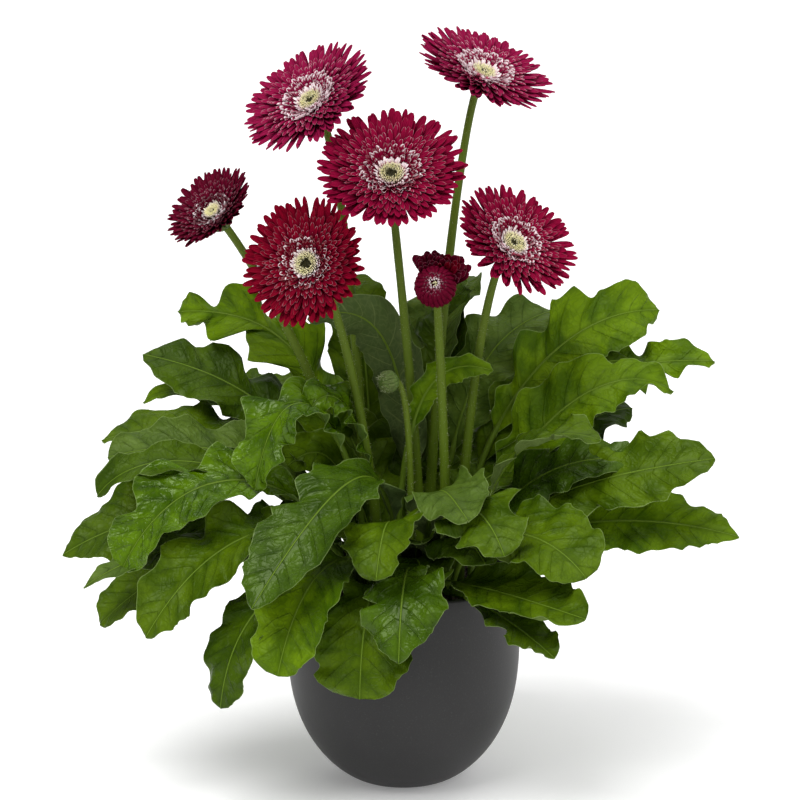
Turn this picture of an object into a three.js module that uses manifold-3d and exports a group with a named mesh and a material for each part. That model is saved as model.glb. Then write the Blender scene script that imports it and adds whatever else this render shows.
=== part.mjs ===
// A potted gerbera: a rosette of lobed leaves, six open blooms, one opening bloom and one green bud,
// growing from soil in a round-bottomed pot. Millimetres, +Z up. The origin is the centre of the pot's
// flat foot, and -Y is the plant's best side.
import * as THREE from "three";
import { mergeVertices } from "three/addons/utils/BufferGeometryUtils.js";
import Module from "manifold-3d";

const wasm = await Module();
wasm.setup();

// ---------------------------------------------------------------- driving dimensions
const GAP = 0.35; // clearance between pieces that touch
const POT = { foot: 28, belly: 76, bellyHeight: 102, height: 136, rim: 75.4, wall: 4, sides: 32 };
const SOIL = { below: 8, crown: 2, lump: 1.4, flat: 48 };
const HOLE_DEPTH = 10; // how far a petiole or flower stem stands in the soil
const CROWN = { x: 3, y: 3 }; // the middle of the rosette
const RINGS = [45, 34, 22]; // distance of the petioles' feet from the crown's middle
const PETIOLE = { half: 2.5, thick: 4.2 };
const BLADE = { thick: 1.2, rib: 1.6, start: 0.3, gutter: 0.16, sweep: 0.03, rows: 12, baseCut: 0.5 };
const STEM = { foot: 3.6, neck: 2.8, sides: 7, steps: 6, lead: 30 };
const HEAD = { core: 8.5, top: 2.2, back: 4.2, calyx: 10.5, calyxDepth: 8, petal: 0.9 };

const COLOUR = {
  pot: 0x3c3a3a,
  soil: 0x2a1c12,
  leaf: 0x3f6b18,
  stem: 0x5c7a24,
  petals: 0x8e0a30,
  eye: 0xd9d59a,
};

// Blade outlines. rise and fall shape the blade towards its base and its tip. Each cut between two
// lobes is its place along the blade and how deep it goes in on the left and on the right.
const OUTLINES = {
  lobed: { rise: 0.85, fall: 0.58, cuts: [[0.2, 0.5, 0.42], [0.42, 0.36, 0.4], [0.68, 0.2, 0.16]] },
  arrow: { rise: 0.75, fall: 0.85, cuts: [[0.18, 0.2, 0.3], [0.4, 0.1, 0.16], [0.68, 0.1, 0.06]] },
  spade: { rise: 0.85, fall: 0.66, cuts: [[0.26, 0.55, 0.25], [0.48, 0.14, 0.4], [0.74, 0.1, 0.08]] },
  oval: { rise: 0.65, fall: 0.5, cuts: [[0.22, 0.16, 0.2], [0.5, 0.08, 0.12], [0.78, 0.1, 0.05]] },
  round: { rise: 0.55, fall: 0.42, cuts: [[0.2, 0.1, 0.2], [0.5, 0.12, 0.06], [0.76, 0.06, 0.14]] },
  wavy: { rise: 0.7, fall: 0.7, cuts: [[0.25, 0.3, 0.2], [0.48, 0.16, 0.24], [0.72, 0.2, 0.12]] },
  fingered: { rise: 0.6, fall: 0.45, cuts: [[0.2, 0.5, 0.5], [0.46, 0.55, 0.45], [0.74, 0.4, 0.48]] },
};

// Leaves. foot: the petiole's ring and its angle there. az: heading, 0 is +X and -90 is the front.
// The midrib is a cubic curve that leaves the soil upwards: lift is the height of its first handle,
// bow the second handle (out, up) and tip the leaf's end (out, up), all from the petiole's foot.
// wide is the blade's width, roll its turn about the midrib and wave the ruffle of its edge. Some
// leaves also have a start, where the blade begins, or a sway, how far the midrib bends to its left.
const LEAVES = {
  // name: [foot, az, lift, bow, tip, wide, roll, wave, outline, others]
  front_left_long: [[1, -98], -134, 96, [30, 122], [132, 18], 58, -20, 3, "spade", { start: 0.22 }],
  front_upper: [[0, -97], -101, 58, [46, 86], [76, 34], 60, 12, 4, "lobed"],
  front_mid: [[0, -86], -96, 34, [72, 52], [88, -16], 56, 5, 3, "spade"],
  front_low: [[0, -108], -104, 26, [62, 34], [68, -46], 66, -6, 4, "round"],
  front_cupped: [[1, -72], -70, 96, [38, 80], [76, 68], 54, 10, 5, "oval"],
  front_right_upper: [[0, -64], -62, 64, [48, 90], [84, 48], 58, 24, 3, "lobed"],
  front_right_round: [[0, -52], -44, 52, [72, 70], [114, 34], 62, 26, 4, "round"],
  front_right_low: [[0, -75], -44, 22, [50, 20], [134, 14], 46, 26, 3, "oval", { start: 0.2 }],
  right_long: [[0, -18], -15, 58, [74, 80], [156, 96], 60, 50, 4, "spade", { start: 0.14 }],
  right_low: [[0, -7], -10, 40, [92, 60], [170, 40], 52, 48, 3, "arrow"],
  right_inner: [[0, -28], -22, 84, [40, 120], [88, 108], 46, 14, 4, "lobed"],
  right_arch: [[0, 5], 4, 84, [80, 160], [128, 125], 52, 54, 5, "arrow"],
  right_high: [[1, 35], 9, 104, [90, 140], [174, 137], 54, 50, 6, "fingered", { start: 0.62, sway: 32 }],
  right_back_high: [[1, 16], 24, 100, [70, 178], [147, 168], 53, 58, 4, "lobed", { start: 0.39 }],
  right_back_dark: [[1, 51], 40, 118, [41, 160], [100, 164], 55, 30, 4, "wavy", { start: 0.38 }],
  right_back_mid: [[0, 19], 19, 66, [68, 106], [112, 106], 52, 30, 4, "lobed"],
  left_bullate: [[0, -150], -165, 76, [102, 120], [148, 24], 58, -30, 5, "lobed"],
  left_droop: [[0, -140], -153, 54, [86, 82], [146, -10], 56, -14, 6, "wavy"],
  left_hanging: [[0, -129], -143, 24, [100, 44], [112, -54], 42, -12, 3, "oval"],
  front_left_low: [[0, -118], -126, 40, [72, 60], [102, -27], 54, -8, 3, "round"],
  left_low: [[0, -161], -169, 34, [98, 48], [158, -16], 54, -22, 4, "oval"],
  left_flat: [[0, -173], 180, 42, [104, 72], [180, 20], 64, -40, 2, "arrow", { start: 0.42 }],
  left_pale: [[1, -178], -177, 78, [86, 106], [160, 86], 46, -32, 3, "oval"],
  left_broad: [[0, 175], 171, 80, [88, 115], [158, 89], 54, -26, 4, "wavy"],
  left_dark: [[0, 163], 160, 92, [60, 131], [141, 140], 52, -36, 4, "spade"],
  left_high: [[0, 148], 156, 134, [40, 178], [126, 166], 56, -50, 8, "fingered"],
  left_curled: [[1, -140], -154, 118, [60, 181], [79, 75], 48, -14, 7, "lobed", { start: 0.46 }],
  left_small: [[1, -162], -170, 86, [22, 104], [46, 82], 34, -54, 6, "round", { start: 0.4 }],
  centre_thin: [[2, -110], 4, 104, [14, 160], [62, 144], 21, 70, 2, "wavy", { start: 0.58, sway: 12 }],
  centre_arch: [[2, 80], -158, 120, [8, 196], [74, 176], 38, 60, 3, "oval"],
  back_tall: [[0, 85], 48, 128, [13, 180], [60, 188], 56, 0, 3, "oval", { start: 0.43 }],
  back_left_arch: [[0, 121], 108, 124, [22, 178], [58, 188], 50, 0, 4, "oval"],
  back_left_mid: [[0, 138], 142, 80, [52, 124], [118, 108], 62, -8, 4, "lobed"],
  back_right_mid: [[0, 46], 48, 60, [78, 90], [140, 60], 60, 8, 4, "lobed"],
  back_mid: [[0, 94], 94, 66, [70, 104], [132, 72], 62, 0, 4, "spade"],
  back_low_right: [[0, 70], 72, 30, [86, 40], [130, -30], 58, 4, 4, "wavy"],
  back_low_left: [[0, 110], 118, 30, [88, 42], [136, -24], 58, -4, 4, "lobed"],
};

// Flower heads. foot: the stem's place in the soil. at: the head's middle, its height counted from
// the soil. face: the way the head looks. cup: how far its petals stand up.
const BLOOMS = {
  middle: { foot: [12, -7], at: [-7.6, -16, 272.5], face: [0, -0.7, 0.714], radius: 45.5, cup: 9 },
  upper_left: { foot: [-24, 18], at: [-59, 27.5, 313.5], face: [-0.475, -0.505, 0.718], radius: 46.5, cup: 7.5 },
  upper_right: { foot: [16, 20], at: [51, 31, 331], face: [0.34, -0.36, 0.87], radius: 46, cup: 7 },
  lower_right: { foot: [36, -1], at: [69.2, -17.5, 228.5], face: [0.44, -0.6, 0.67], radius: 42, cup: 9.5 },
  lower_left: { foot: [-15, -13], at: [-60, -51, 221.5], face: [-0.4, -0.85, 0.35], radius: 41.5, cup: 10.5 },
  far_left: { foot: [-22, 4], at: [-120, -8, 247], face: [-0.5, -0.5, 0.7], radius: 31, cup: 18 },
};
const OPENING = {
  foot: [28, -22],
  at: [20, -50, 206],
  face: [-0.05, -0.92, 0.38],
  radius: 13.5,
  spread: [8, 30, 52, 74, 96, 118],
};
const BUD = { foot: [5, -28], at: [-10, -24, 141], face: [-0.85, -0.5, -0.1], radius: 6.5, lead: 14 };

// Petal layers of a head from its back to its front. reach is a share of the head's radius, wide a
// share of the petals' pitch, rise their slope, curl how they bend up, seat their height on the core.
const LAYERS = [
  { count: 18, reach: 1, wide: 0.72, rise: -0.02, curl: 0.0004, seat: -2.4, turn: 0 },
  { count: 14, reach: 0.8, wide: 0.68, rise: 0.1, curl: 0.001, seat: -0.6, turn: 0.5 },
  { count: 10, reach: 0.52, wide: 0.6, rise: 0.22, curl: 0.004, seat: 1, turn: 0 },
];

// ---------------------------------------------------------------- small helpers
const rad = THREE.MathUtils.degToRad;
const mix = THREE.MathUtils.lerp;
const smooth = THREE.MathUtils.smoothstep;
const V = (x, y, z) => new THREE.Vector3(x, y, z);
const UP = V(0, 0, 1);
const along = (base, ...pairs) => pairs.reduce((p, [v, k]) => p.addScaledVector(v, k), base.clone());
const range = (n) => Array.from({ length: n }, (_, i) => i);

// A number from 0 to 1 that is always the same for the same seed.
function draw(seed) {
  const s = Math.sin(seed * 127.1 + 311.7) * 43758.5453;
  return s - Math.floor(s);
}

function solid(geometry) {
  const g = new THREE.BufferGeometry().setAttribute("position", geometry.getAttribute("position").clone());
  if (geometry.index) g.setIndex(geometry.index.clone());
  const merged = mergeVertices(g, 1e-4);
  return new wasm.Manifold(
    new wasm.Mesh({
      numProp: 3,
      vertProperties: new Float32Array(merged.attributes.position.array),
      triVerts: new Uint32Array(merged.index.array),
    }),
  );
}

function geometryOf(manifold) {
  const m = manifold.getMesh();
  return new THREE.BufferGeometry()
    .setAttribute("position", new THREE.BufferAttribute(new Float32Array(m.vertProperties), 3))
    .setIndex(new THREE.BufferAttribute(new Uint32Array(m.triVerts), 1));
}

function fromTriangles(points, faces) {
  const numbers = new Float32Array(points.flatMap((p) => p.toArray()));
  return new THREE.BufferGeometry()
    .setAttribute("position", new THREE.BufferAttribute(numbers, 3))
    .setIndex(faces);
}

// The triangles between two chains of points, as steps [i, j, onA]: the next edge is taken from the
// chain whose next edge has its middle first. places are where the points lie along their chain.
function zip(placesA, placesB) {
  const steps = [];
  let [i, j] = [0, 0];
  while (i < placesA.length - 1 || j < placesB.length - 1) {
    const nextA = i < placesA.length - 1 ? placesA[i] + placesA[i + 1] : Infinity;
    const nextB = j < placesB.length - 1 ? placesB[j] + placesB[j + 1] : Infinity;
    const onA = nextA <= nextB + 1e-9;
    steps.push([i, j, onA]);
    if (onA) i++;
    else j++;
  }
  return steps;
}

// A closed body through loops of points. Each loop goes round counter-clockwise seen from the far
// end, and has one point or more; the first and last loop are closed with a fan.
function loft(loops, centre = V(0, 0, 0)) {
  const points = loops.flat();
  const faces = [];
  const turnOf = (loop) => {
    const first = Math.atan2(loop[0].y - centre.y, loop[0].x - centre.x);
    const turns = loop.map((p, k) => {
      const turn = Math.atan2(p.y - centre.y, p.x - centre.x) - first;
      return k === 0 ? first : first + ((turn + 4 * Math.PI) % (2 * Math.PI));
    });
    return [...turns, first + 2 * Math.PI];
  };
  const evenly = (loop) => range(loop.length + 1);
  let start = 0;
  for (let k = 0; k < loops.length - 1; k++) {
    const [a, b] = [loops[k], loops[k + 1]];
    const [atA, atB] = [(i) => start + (i % a.length), (j) => start + a.length + (j % b.length)];
    if (a.length === 1) range(b.length).forEach((j) => faces.push(atA(0), atB(j + 1), atB(j)));
    else if (b.length === 1) range(a.length).forEach((i) => faces.push(atA(i), atA(i + 1), atB(0)));
    else
      for (const [i, j, onA] of zip(...(a.length === b.length ? [a, b].map(evenly) : [a, b].map(turnOf))))
        if (onA) faces.push(atA(i), atA(i + 1), atB(j));
        else faces.push(atA(i), atB(j + 1), atB(j));
    start += a.length;
  }
  const first = loops[0];
  const last = loops[loops.length - 1];
  for (let i = 1; i < first.length - 1; i++) faces.push(0, i + 1, i);
  for (let i = 1; i < last.length - 1; i++) faces.push(start, start + i, start + i + 1);
  return fromTriangles(points, faces);
}

// A closed blade from rows of points on its upper and lower face. A row goes from the left edge to
// the right one, rows may differ in number, and both faces are split into triangles alike.
function slab(rows) {
  const faces = [];
  const places = (row) => row.upper.map((_, i) => i / (row.upper.length - 1));
  const starts = [0];
  rows.forEach((row) => starts.push(starts[starts.length - 1] + row.upper.length));
  const under = starts[rows.length];
  const quad = (a, b, c, d) => faces.push(a, b, c, a, c, d);
  for (let r = 0; r < rows.length - 1; r++) {
    const [u, w] = [starts[r], starts[r + 1]];
    for (const [i, j, onA] of zip(places(rows[r]), places(rows[r + 1]))) {
      const tri = onA ? [u + i, u + i + 1, w + j] : [u + i, w + j + 1, w + j];
      faces.push(...tri, under + tri[0], under + tri[2], under + tri[1]);
    }
    const [right, next] = [w - 1, starts[r + 2] - 1];
    quad(u, w, under + w, under + u);
    quad(next, right, under + right, under + next);
  }
  for (let i = 0; i < rows[0].upper.length - 1; i++) quad(i + 1, i, under + i, under + i + 1);
  const end = starts[rows.length - 1];
  for (let i = end; i < under - 1; i++) quad(i, i + 1, under + i + 1, under + i);
  return fromTriangles([...rows.flatMap((r) => r.upper), ...rows.flatMap((r) => r.lower)], faces);
}

// ---------------------------------------------------------------- pot and soil
// The pot's outside from foot to rim: a full round bottom, then an almost straight wall.
function potOutline(steps) {
  const points = range(steps + 1).map((i) => {
    const t = i / steps;
    const h = t ** 1.6;
    const r = POT.foot + (POT.belly - POT.foot) * (1 - (1 - h) ** 2.8) ** 0.72;
    return new THREE.Vector2(r, POT.bellyHeight * h);
  });
  points.push(new THREE.Vector2(POT.rim, POT.height));
  return points;
}

// The same outline moved inwards by a depth, up to a height.
function insetOutline(steps, depth, top) {
  const outside = potOutline(steps);
  const inside = outside.map((p, i) => {
    const before = outside[Math.max(i - 1, 0)];
    const after = outside[Math.min(i + 1, outside.length - 1)];
    const t = i === 0 ? new THREE.Vector2(1, 0.6).normalize() : after.clone().sub(before).normalize();
    return new THREE.Vector2(p.x - t.y * depth, Math.max(p.y + t.x * depth, depth));
  });
  inside[inside.length - 1].y = top;
  return inside;
}

function potMesh() {
  const inside = insetOutline(5, POT.wall, POT.height).reverse();
  const lip = new THREE.Vector2(POT.rim - POT.wall / 2, POT.height + 1);
  const [under, floor] = [new THREE.Vector2(0, 0), new THREE.Vector2(0, POT.wall)];
  const profile = [under, ...potOutline(7), lip, ...inside, floor];
  return piece("pot", new THREE.LatheGeometry(profile, POT.sides).rotateX(Math.PI / 2), COLOUR.pot);
}

const SOIL_TOP = POT.height - SOIL.below;

// The height of the soil's surface: a low mound, lumpy outside the crown.
function soilHeight(r, seed) {
  const mound = SOIL.crown * (1 - (r / POT.belly) ** 2);
  const lumps = r > SOIL.flat ? SOIL.lump * (draw(seed) - 0.5) : 0;
  return SOIL_TOP + mound + lumps;
}

// A straight hole in the soil for a foot of the given half width and half depth.
function footHole(foot, heading, half, deep) {
  const box = new THREE.BoxGeometry(2 * (deep + GAP), 2 * (half + GAP), 2 * (HOLE_DEPTH + GAP));
  box.rotateZ(heading).translate(foot.x, foot.y, foot.z);
  return solid(box);
}

function soilMesh(holes) {
  const side = insetOutline(5, POT.wall + GAP, SOIL_TOP);
  const [edge, floor] = [side[side.length - 1].x, POT.wall + GAP];
  const ring = (r, z) =>
    range(POT.sides).map((i) => {
      const turn = (2 * Math.PI * i) / POT.sides;
      return V(r * Math.sin(turn), -r * Math.cos(turn), z ?? soilHeight(r, i + 40 * Math.round(r)));
    });
  const loops = [[V(0, 0, floor)], ...side.map((p) => ring(p.x, p.y)), ring(edge * 0.84), ring(SOIL.flat)];
  const body = loft([...loops, [V(0, 0, soilHeight(0, 0))]]);
  return piece("soil", geometryOf(solid(body).subtract(wasm.Manifold.union(holes))), COLOUR.soil);
}

// ---------------------------------------------------------------- leaves
function footPoint([ring, angle]) {
  const x = CROWN.x + RINGS[ring] * Math.cos(rad(angle));
  const y = CROWN.y + RINGS[ring] * Math.sin(rad(angle));
  return V(x, y, soilHeight(Math.hypot(x, y), 0));
}

// Where v lies between the cuts of a leaf: how near the closest one it is, from 0 to 1 at the cut
// itself, and how deep that cut is on the side of t.
function cutAt(leaf, v, t) {
  const knots = [[0, BLADE.baseCut, BLADE.baseCut], ...leaf.cuts, [1, 0, 0]];
  const after = Math.max(1, knots.findIndex(([place]) => place >= v));
  const between = (v - knots[after - 1][0]) / (knots[after][0] - knots[after - 1][0]);
  const [, left, right] = knots[between < 0.5 ? after - 1 : after];
  return { near: (0.5 + 0.5 * Math.cos(2 * Math.PI * between)) ** 2.2, deep: mix(right, left, (t + 1) / 2) };
}

// The places of the rows across a blade: one at each cut and the rest evenly between them.
function rowPlaces({ cuts }) {
  const knots = [0, ...cuts.map(([place]) => place), 1];
  const each = BLADE.rows / (knots.length - 1);
  return range(BLADE.rows).map((i) => {
    const knot = Math.floor(i / each);
    return mix(knots[knot], knots[knot + 1], i / each - knot);
  });
}

// Half the blade's width at v, 0 at its base and 1 at its tip, without its lobes.
function hullWidth({ wide, rise, fall }, v) {
  const peak = rise / (rise + fall);
  return ((wide / 2) * (v ** rise * (1 - v) ** fall)) / (peak ** rise * (1 - peak) ** fall);
}

// The leaf's midrib and its frame: place, left side and upper normal at a, from 0 to 1.
function leafFrame(leaf) {
  const out = V(Math.cos(rad(leaf.az)), Math.sin(rad(leaf.az)), 0);
  const left = V(-out.y, out.x, 0);
  const foot = footPoint(leaf.foot);
  const curve = new THREE.CubicBezierCurve3(
    foot,
    along(foot, [out, 0.03 * leaf.tip[0]], [UP, leaf.lift]),
    along(foot, [out, leaf.bow[0]], [UP, leaf.bow[1]], [left, leaf.sway]),
    along(foot, [out, leaf.tip[0]], [UP, leaf.tip[1]]),
  );
  curve.arcLengthDivisions = 60;
  return (a) => {
    const tangent = curve.getTangentAt(a);
    const side = along(left, [tangent, -left.dot(tangent)]).normalize();
    const normal = tangent.clone().cross(side);
    const roll = rad(leaf.roll * smooth(a, 0.12, leaf.start + 0.18));
    return {
      at: curve.getPointAt(a),
      side: side.clone().multiplyScalar(Math.cos(roll)).addScaledVector(normal, Math.sin(roll)),
      normal: normal.clone().multiplyScalar(Math.cos(roll)).addScaledVector(side, -Math.sin(roll)),
    };
  };
}

// A row across the petiole at a: two points above and two below.
function petioleRow(frame, a, drop = 0) {
  const { at, side, normal } = frame(a);
  const top = along(at, [normal, PETIOLE.thick / 2], [UP, -drop]);
  const upper = [1, -1].map((t) => along(top, [side, PETIOLE.half * t]));
  return { upper, lower: upper.map((p) => along(p, [normal, -PETIOLE.thick])) };
}

// A row across the blade at v: left edge, midrib and right edge, or just the two edges. The edges lie
// further on than the midrib, as the side veins do, and wave up on each lobe and down in each cut.
function bladeRow(leaf, frame, v, places) {
  const grow = smooth(v, -0.05, 0.14);
  const shrink = Math.sqrt(1 - 0.6 * v);
  const points = places.map((t) => {
    const on = v + (BLADE.sweep + leaf.skew * t) * Math.abs(t) * 4 * v * (1 - v);
    const { at, side, normal } = frame(mix(leaf.start, 1, on));
    const { near, deep } = cutAt(leaf, v, t);
    const h = Math.max(hullWidth(leaf, on) * (1 - deep * near), mix(PETIOLE.half, 0.9, v));
    const wave = leaf.wave * (0.7 - 1.4 * near) * shrink;
    const lift = (h * BLADE.gutter + wave) * Math.abs(t) * grow + (PETIOLE.thick / 2) * (1 - grow);
    const thick = mix(PETIOLE.thick, BLADE.thick + (t === 0 ? BLADE.rib * (1 - v) : 0), grow);
    const upper = along(at, [side, h * t], [normal, lift]);
    return [upper, along(upper, [normal, -thick])];
  });
  return { upper: points.map((p) => p[0]), lower: points.map((p) => p[1]) };
}

const leafSpec = ([foot, az, lift, bow, tip, wide, roll, wave, outline, others = {}]) => ({
  ...{ foot, az, lift, bow, tip, wide, roll, wave, start: BLADE.start, sway: 0 },
  ...OUTLINES[outline],
  ...others,
});

function leafMesh(name, spec, index) {
  const leaf = { ...spec, skew: 0.04 * (index % 2 ? 1 : -1) };
  const frame = leafFrame(leaf);
  const petiole = [petioleRow(frame, 0, HOLE_DEPTH - 2 * GAP), petioleRow(frame, 0)];
  const rows = [...petiole, petioleRow(frame, leaf.start * 0.5)];
  rows.push(...rowPlaces(leaf).map((v) => bladeRow(leaf, frame, v, [1, 0, -1])));
  rows.push(bladeRow(leaf, frame, 1, [1, -1]));
  return piece("leaf_" + name, slab(rows), COLOUR.leaf);
}

function leafHole(spec) {
  return footHole(footPoint(spec.foot), rad(spec.az), PETIOLE.half, PETIOLE.thick / 2);
}

// ---------------------------------------------------------------- flowers
const placeOf = (flower) => V(flower.at[0], flower.at[1], SOIL_TOP + flower.at[2]);

// Turns a shape made about +Z at the origin to look along the flower's face and stand in its place.
function placed(geometry, flower) {
  const turn = new THREE.Quaternion().setFromUnitVectors(UP, V(...flower.face).normalize());
  return geometry.applyQuaternion(turn).translate(...placeOf(flower).toArray());
}

const circle = (n, r, z, ridge = 0, turn = 0) =>
  range(n).map((i) => {
    const angle = (2 * Math.PI * i) / n + turn;
    const q = r * (1 + (i % 2 ? ridge : -ridge));
    return V(q * Math.cos(angle), q * Math.sin(angle), z);
  });

// The outline of one layer of petals: for each petal the notch before it, a shoulder, its tip and
// the other shoulder. lift is added to every height.
function petalOutline(layer, bloom, seed, lift) {
  const pitch = (2 * Math.PI) / layer.count;
  return range(layer.count).flatMap((i) => {
    const own = seed + i;
    const reach = bloom.radius * layer.reach * (0.95 + 0.1 * draw(own));
    const slope = layer.rise + 0.02 * bloom.cup + 0.03 * (draw(own + 50) - 0.5);
    const lean = 0.06 * (draw(own + 30) - 0.5);
    const points = [
      [0, 0.45 * reach, layer.rise + 0.02 * bloom.cup],
      [0.5 - layer.wide / 2 + lean, 0.82 * reach, slope],
      [0.5 + lean, reach, slope],
      [0.5 + layer.wide / 2 + lean, 0.82 * reach, slope],
    ];
    return points.map(([turn, r, rise]) => {
      const angle = pitch * (i + turn + layer.turn);
      const out = r - HEAD.core;
      const z = layer.seat + out * rise + layer.curl * out * out + lift;
      return V(r * Math.cos(angle), r * Math.sin(angle), z);
    });
  });
}

// A double head: layers of petals round a receptacle, one closed body from its back to its middle.
function petalsMesh(name, bloom, index) {
  const loops = [[V(0, 0, -HEAD.back)], circle(12, HEAD.core, -HEAD.back)];
  LAYERS.forEach((layer, l) => {
    const ring = (z) => circle(layer.count, HEAD.core, z, 0, (2 * Math.PI * layer.turn) / layer.count);
    loops.push(ring(layer.seat - HEAD.petal));
    loops.push(petalOutline(layer, bloom, index * 1000 + l * 100, -HEAD.petal));
    loops.push(petalOutline(layer, bloom, index * 1000 + l * 100, 0), ring(layer.seat));
  });
  loops.push(circle(12, HEAD.core, HEAD.top), [V(0, 0, HEAD.top)]);
  return piece(`bloom_${name}_petals`, placed(loft(loops), bloom), COLOUR.petals);
}

// The eye: a low ring of florets in relief round a dimple.
function eyeMesh(name, bloom) {
  const base = HEAD.top + GAP;
  const loops = [
    [V(0, 0, base)],
    circle(16, HEAD.core * 0.94, base),
    circle(16, HEAD.core * 0.86, base + 2.4, 0.05),
    circle(16, HEAD.core * 0.5, base + 3, 0.12),
    [V(0, 0, base + 1.2)],
  ];
  return piece(`bloom_${name}_eye`, placed(loft(loops), bloom), COLOUR.eye);
}

// A flower stem from its hole in the soil to a place behind the head.
function stemSolid(flower, foot, neck, end) {
  const face = V(...flower.face).normalize();
  const [x, y] = flower.foot;
  const low = V(x, y, soilHeight(Math.hypot(x, y), 0));
  const top = along(placeOf(flower), [face, -end]);
  const bend = along(top, [face, -(flower.lead ?? STEM.lead)]);
  const rise = along(low, [UP, 0.36 * (bend.z - low.z)], [bend.clone().sub(low), 0.12]);
  const curve = new THREE.CubicBezierCurve3(low, rise, bend, top);
  const ring = (at, tangent, radius) => {
    const side = along(V(1, 0, 0), [tangent, -tangent.x]).normalize();
    const other = tangent.clone().cross(side);
    return circle(STEM.sides, radius, 0).map((p) => along(at, [side, p.x], [other, p.y]));
  };
  const rings = range(STEM.steps + 1).map((i) => {
    const a = i / STEM.steps;
    return ring(curve.getPointAt(a), a ? curve.getTangentAt(a) : UP, mix(foot, neck, a));
  });
  rings.unshift(ring(along(low, [UP, 2 * GAP - HOLE_DEPTH]), UP, foot));
  return solid(loft(rings));
}

function stemMesh(name, flower, width, depth) {
  const seat = -HEAD.back - GAP;
  const calyx = loft([
    circle(9, STEM.neck + 0.8, seat - depth),
    circle(9, width * 0.84, seat - depth * 0.5),
    circle(9, width, seat - 0.6),
    circle(9, width * 0.88, seat),
  ]);
  const tube = stemSolid(flower, STEM.foot, STEM.neck, depth + 3);
  return piece(name, geometryOf(tube.add(solid(placed(calyx, flower)))), COLOUR.stem);
}

const stemHole = (flower, radius) => {
  const [x, y] = flower.foot;
  return footHole(V(x, y, soilHeight(Math.hypot(x, y), 0)), 0, radius, radius);
};

// The opening bloom: a ribbed ball of petals still folded in, with a few spread ones on one side.
function openingMesh() {
  const r = OPENING.radius;
  const level = (k) => -HEAD.back + r * k;
  const ball = loft([
    [V(0, 0, level(0))],
    circle(20, r * 0.55, level(0)),
    circle(20, r * 0.96, level(0.45), 0.03),
    circle(20, r, level(0.9), 0.07),
    circle(20, r * 0.78, level(1.35), 0.09),
    circle(20, r * 0.4, level(1.55), 0.12),
    [V(0, 0, level(1.2))],
  ]);
  const blades = OPENING.spread.map((angle, i) => {
    const out = V(Math.cos(rad(angle)), Math.sin(rad(angle)), 0);
    const side = V(-out.y, out.x, 0);
    const reach = 1.55 + 0.25 * draw(i + 7);
    const rows = [[0.6, 1.6, 0.2], [1.2, 3.2, 0.55], [reach, 1, 0.9]].map(([q, half, k]) => {
      const upper = [1, -1].map((s) => along(V(0, 0, level(k)), [out, r * q], [side, s * half]));
      return { upper, lower: upper.map((p) => along(p, [UP, -HEAD.petal])) };
    });
    return solid(slab(rows));
  });
  const all = wasm.Manifold.union([solid(ball), ...blades]);
  return piece("opening_bloom_petals", placed(geometryOf(all), OPENING), COLOUR.petals);
}

// The green bud: a ball of closed bracts on a short nodding stem, all one green piece.
function budMesh() {
  const r = BUD.radius;
  const ball = loft([
    [V(0, 0, -r)],
    circle(12, r * 0.7, -r * 0.72),
    circle(12, r, 0, 0.05),
    circle(12, r * 0.72, r * 0.8, 0.08),
    [V(0, 0, r)],
  ]);
  const tube = stemSolid(BUD, 2.3, 2, r * 0.6);
  return piece("green_bud", geometryOf(tube.add(solid(placed(ball, BUD)))), COLOUR.stem);
}

// ---------------------------------------------------------------- assembly
function piece(name, geometry, color) {
  const material = new THREE.MeshStandardMaterial({ color, roughness: 0.6, metalness: 0 });
  const mesh = new THREE.Mesh(geometry, material);
  mesh.name = name;
  return mesh;
}

const plant = new THREE.Group();
plant.name = "potted_gerbera";
const holes = [
  ...Object.values(LEAVES).map((leaf) => leafHole(leafSpec(leaf))),
  ...[...Object.values(BLOOMS), OPENING].map((flower) => stemHole(flower, STEM.foot)),
  stemHole(BUD, 2.3),
];
plant.add(potMesh(), soilMesh(holes));
Object.entries(LEAVES).forEach(([name, leaf], index) => plant.add(leafMesh(name, leafSpec(leaf), index)));
Object.entries(BLOOMS).forEach(([name, bloom], index) => {
  const stem = stemMesh(`bloom_${name}_stem`, bloom, HEAD.calyx, HEAD.calyxDepth);
  plant.add(petalsMesh(name, bloom, index), eyeMesh(name, bloom), stem);
});
plant.add(openingMesh(), stemMesh("opening_bloom_stem", OPENING, 8.5, 6), budMesh());

export default plant;
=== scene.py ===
"""The looks of the potted gerbera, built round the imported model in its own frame.

Shapes are worked out in millimetres, as the construction's are, and every mesh is made in metres.
"""
import math

import bpy
import numpy as np
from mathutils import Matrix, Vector


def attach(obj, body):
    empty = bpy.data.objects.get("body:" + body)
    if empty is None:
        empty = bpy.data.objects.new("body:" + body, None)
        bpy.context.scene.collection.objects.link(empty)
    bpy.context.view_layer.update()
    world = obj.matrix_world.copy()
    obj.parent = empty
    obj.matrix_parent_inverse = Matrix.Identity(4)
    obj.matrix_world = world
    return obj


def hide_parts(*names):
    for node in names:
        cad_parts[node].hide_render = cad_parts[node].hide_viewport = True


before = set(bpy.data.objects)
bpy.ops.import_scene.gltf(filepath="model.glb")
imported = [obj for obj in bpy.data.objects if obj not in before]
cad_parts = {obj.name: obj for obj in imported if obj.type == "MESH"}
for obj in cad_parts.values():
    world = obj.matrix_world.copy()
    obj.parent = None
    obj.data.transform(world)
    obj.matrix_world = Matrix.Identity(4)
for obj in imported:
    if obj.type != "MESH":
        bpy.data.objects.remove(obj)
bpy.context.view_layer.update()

MM = 0.001

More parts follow.
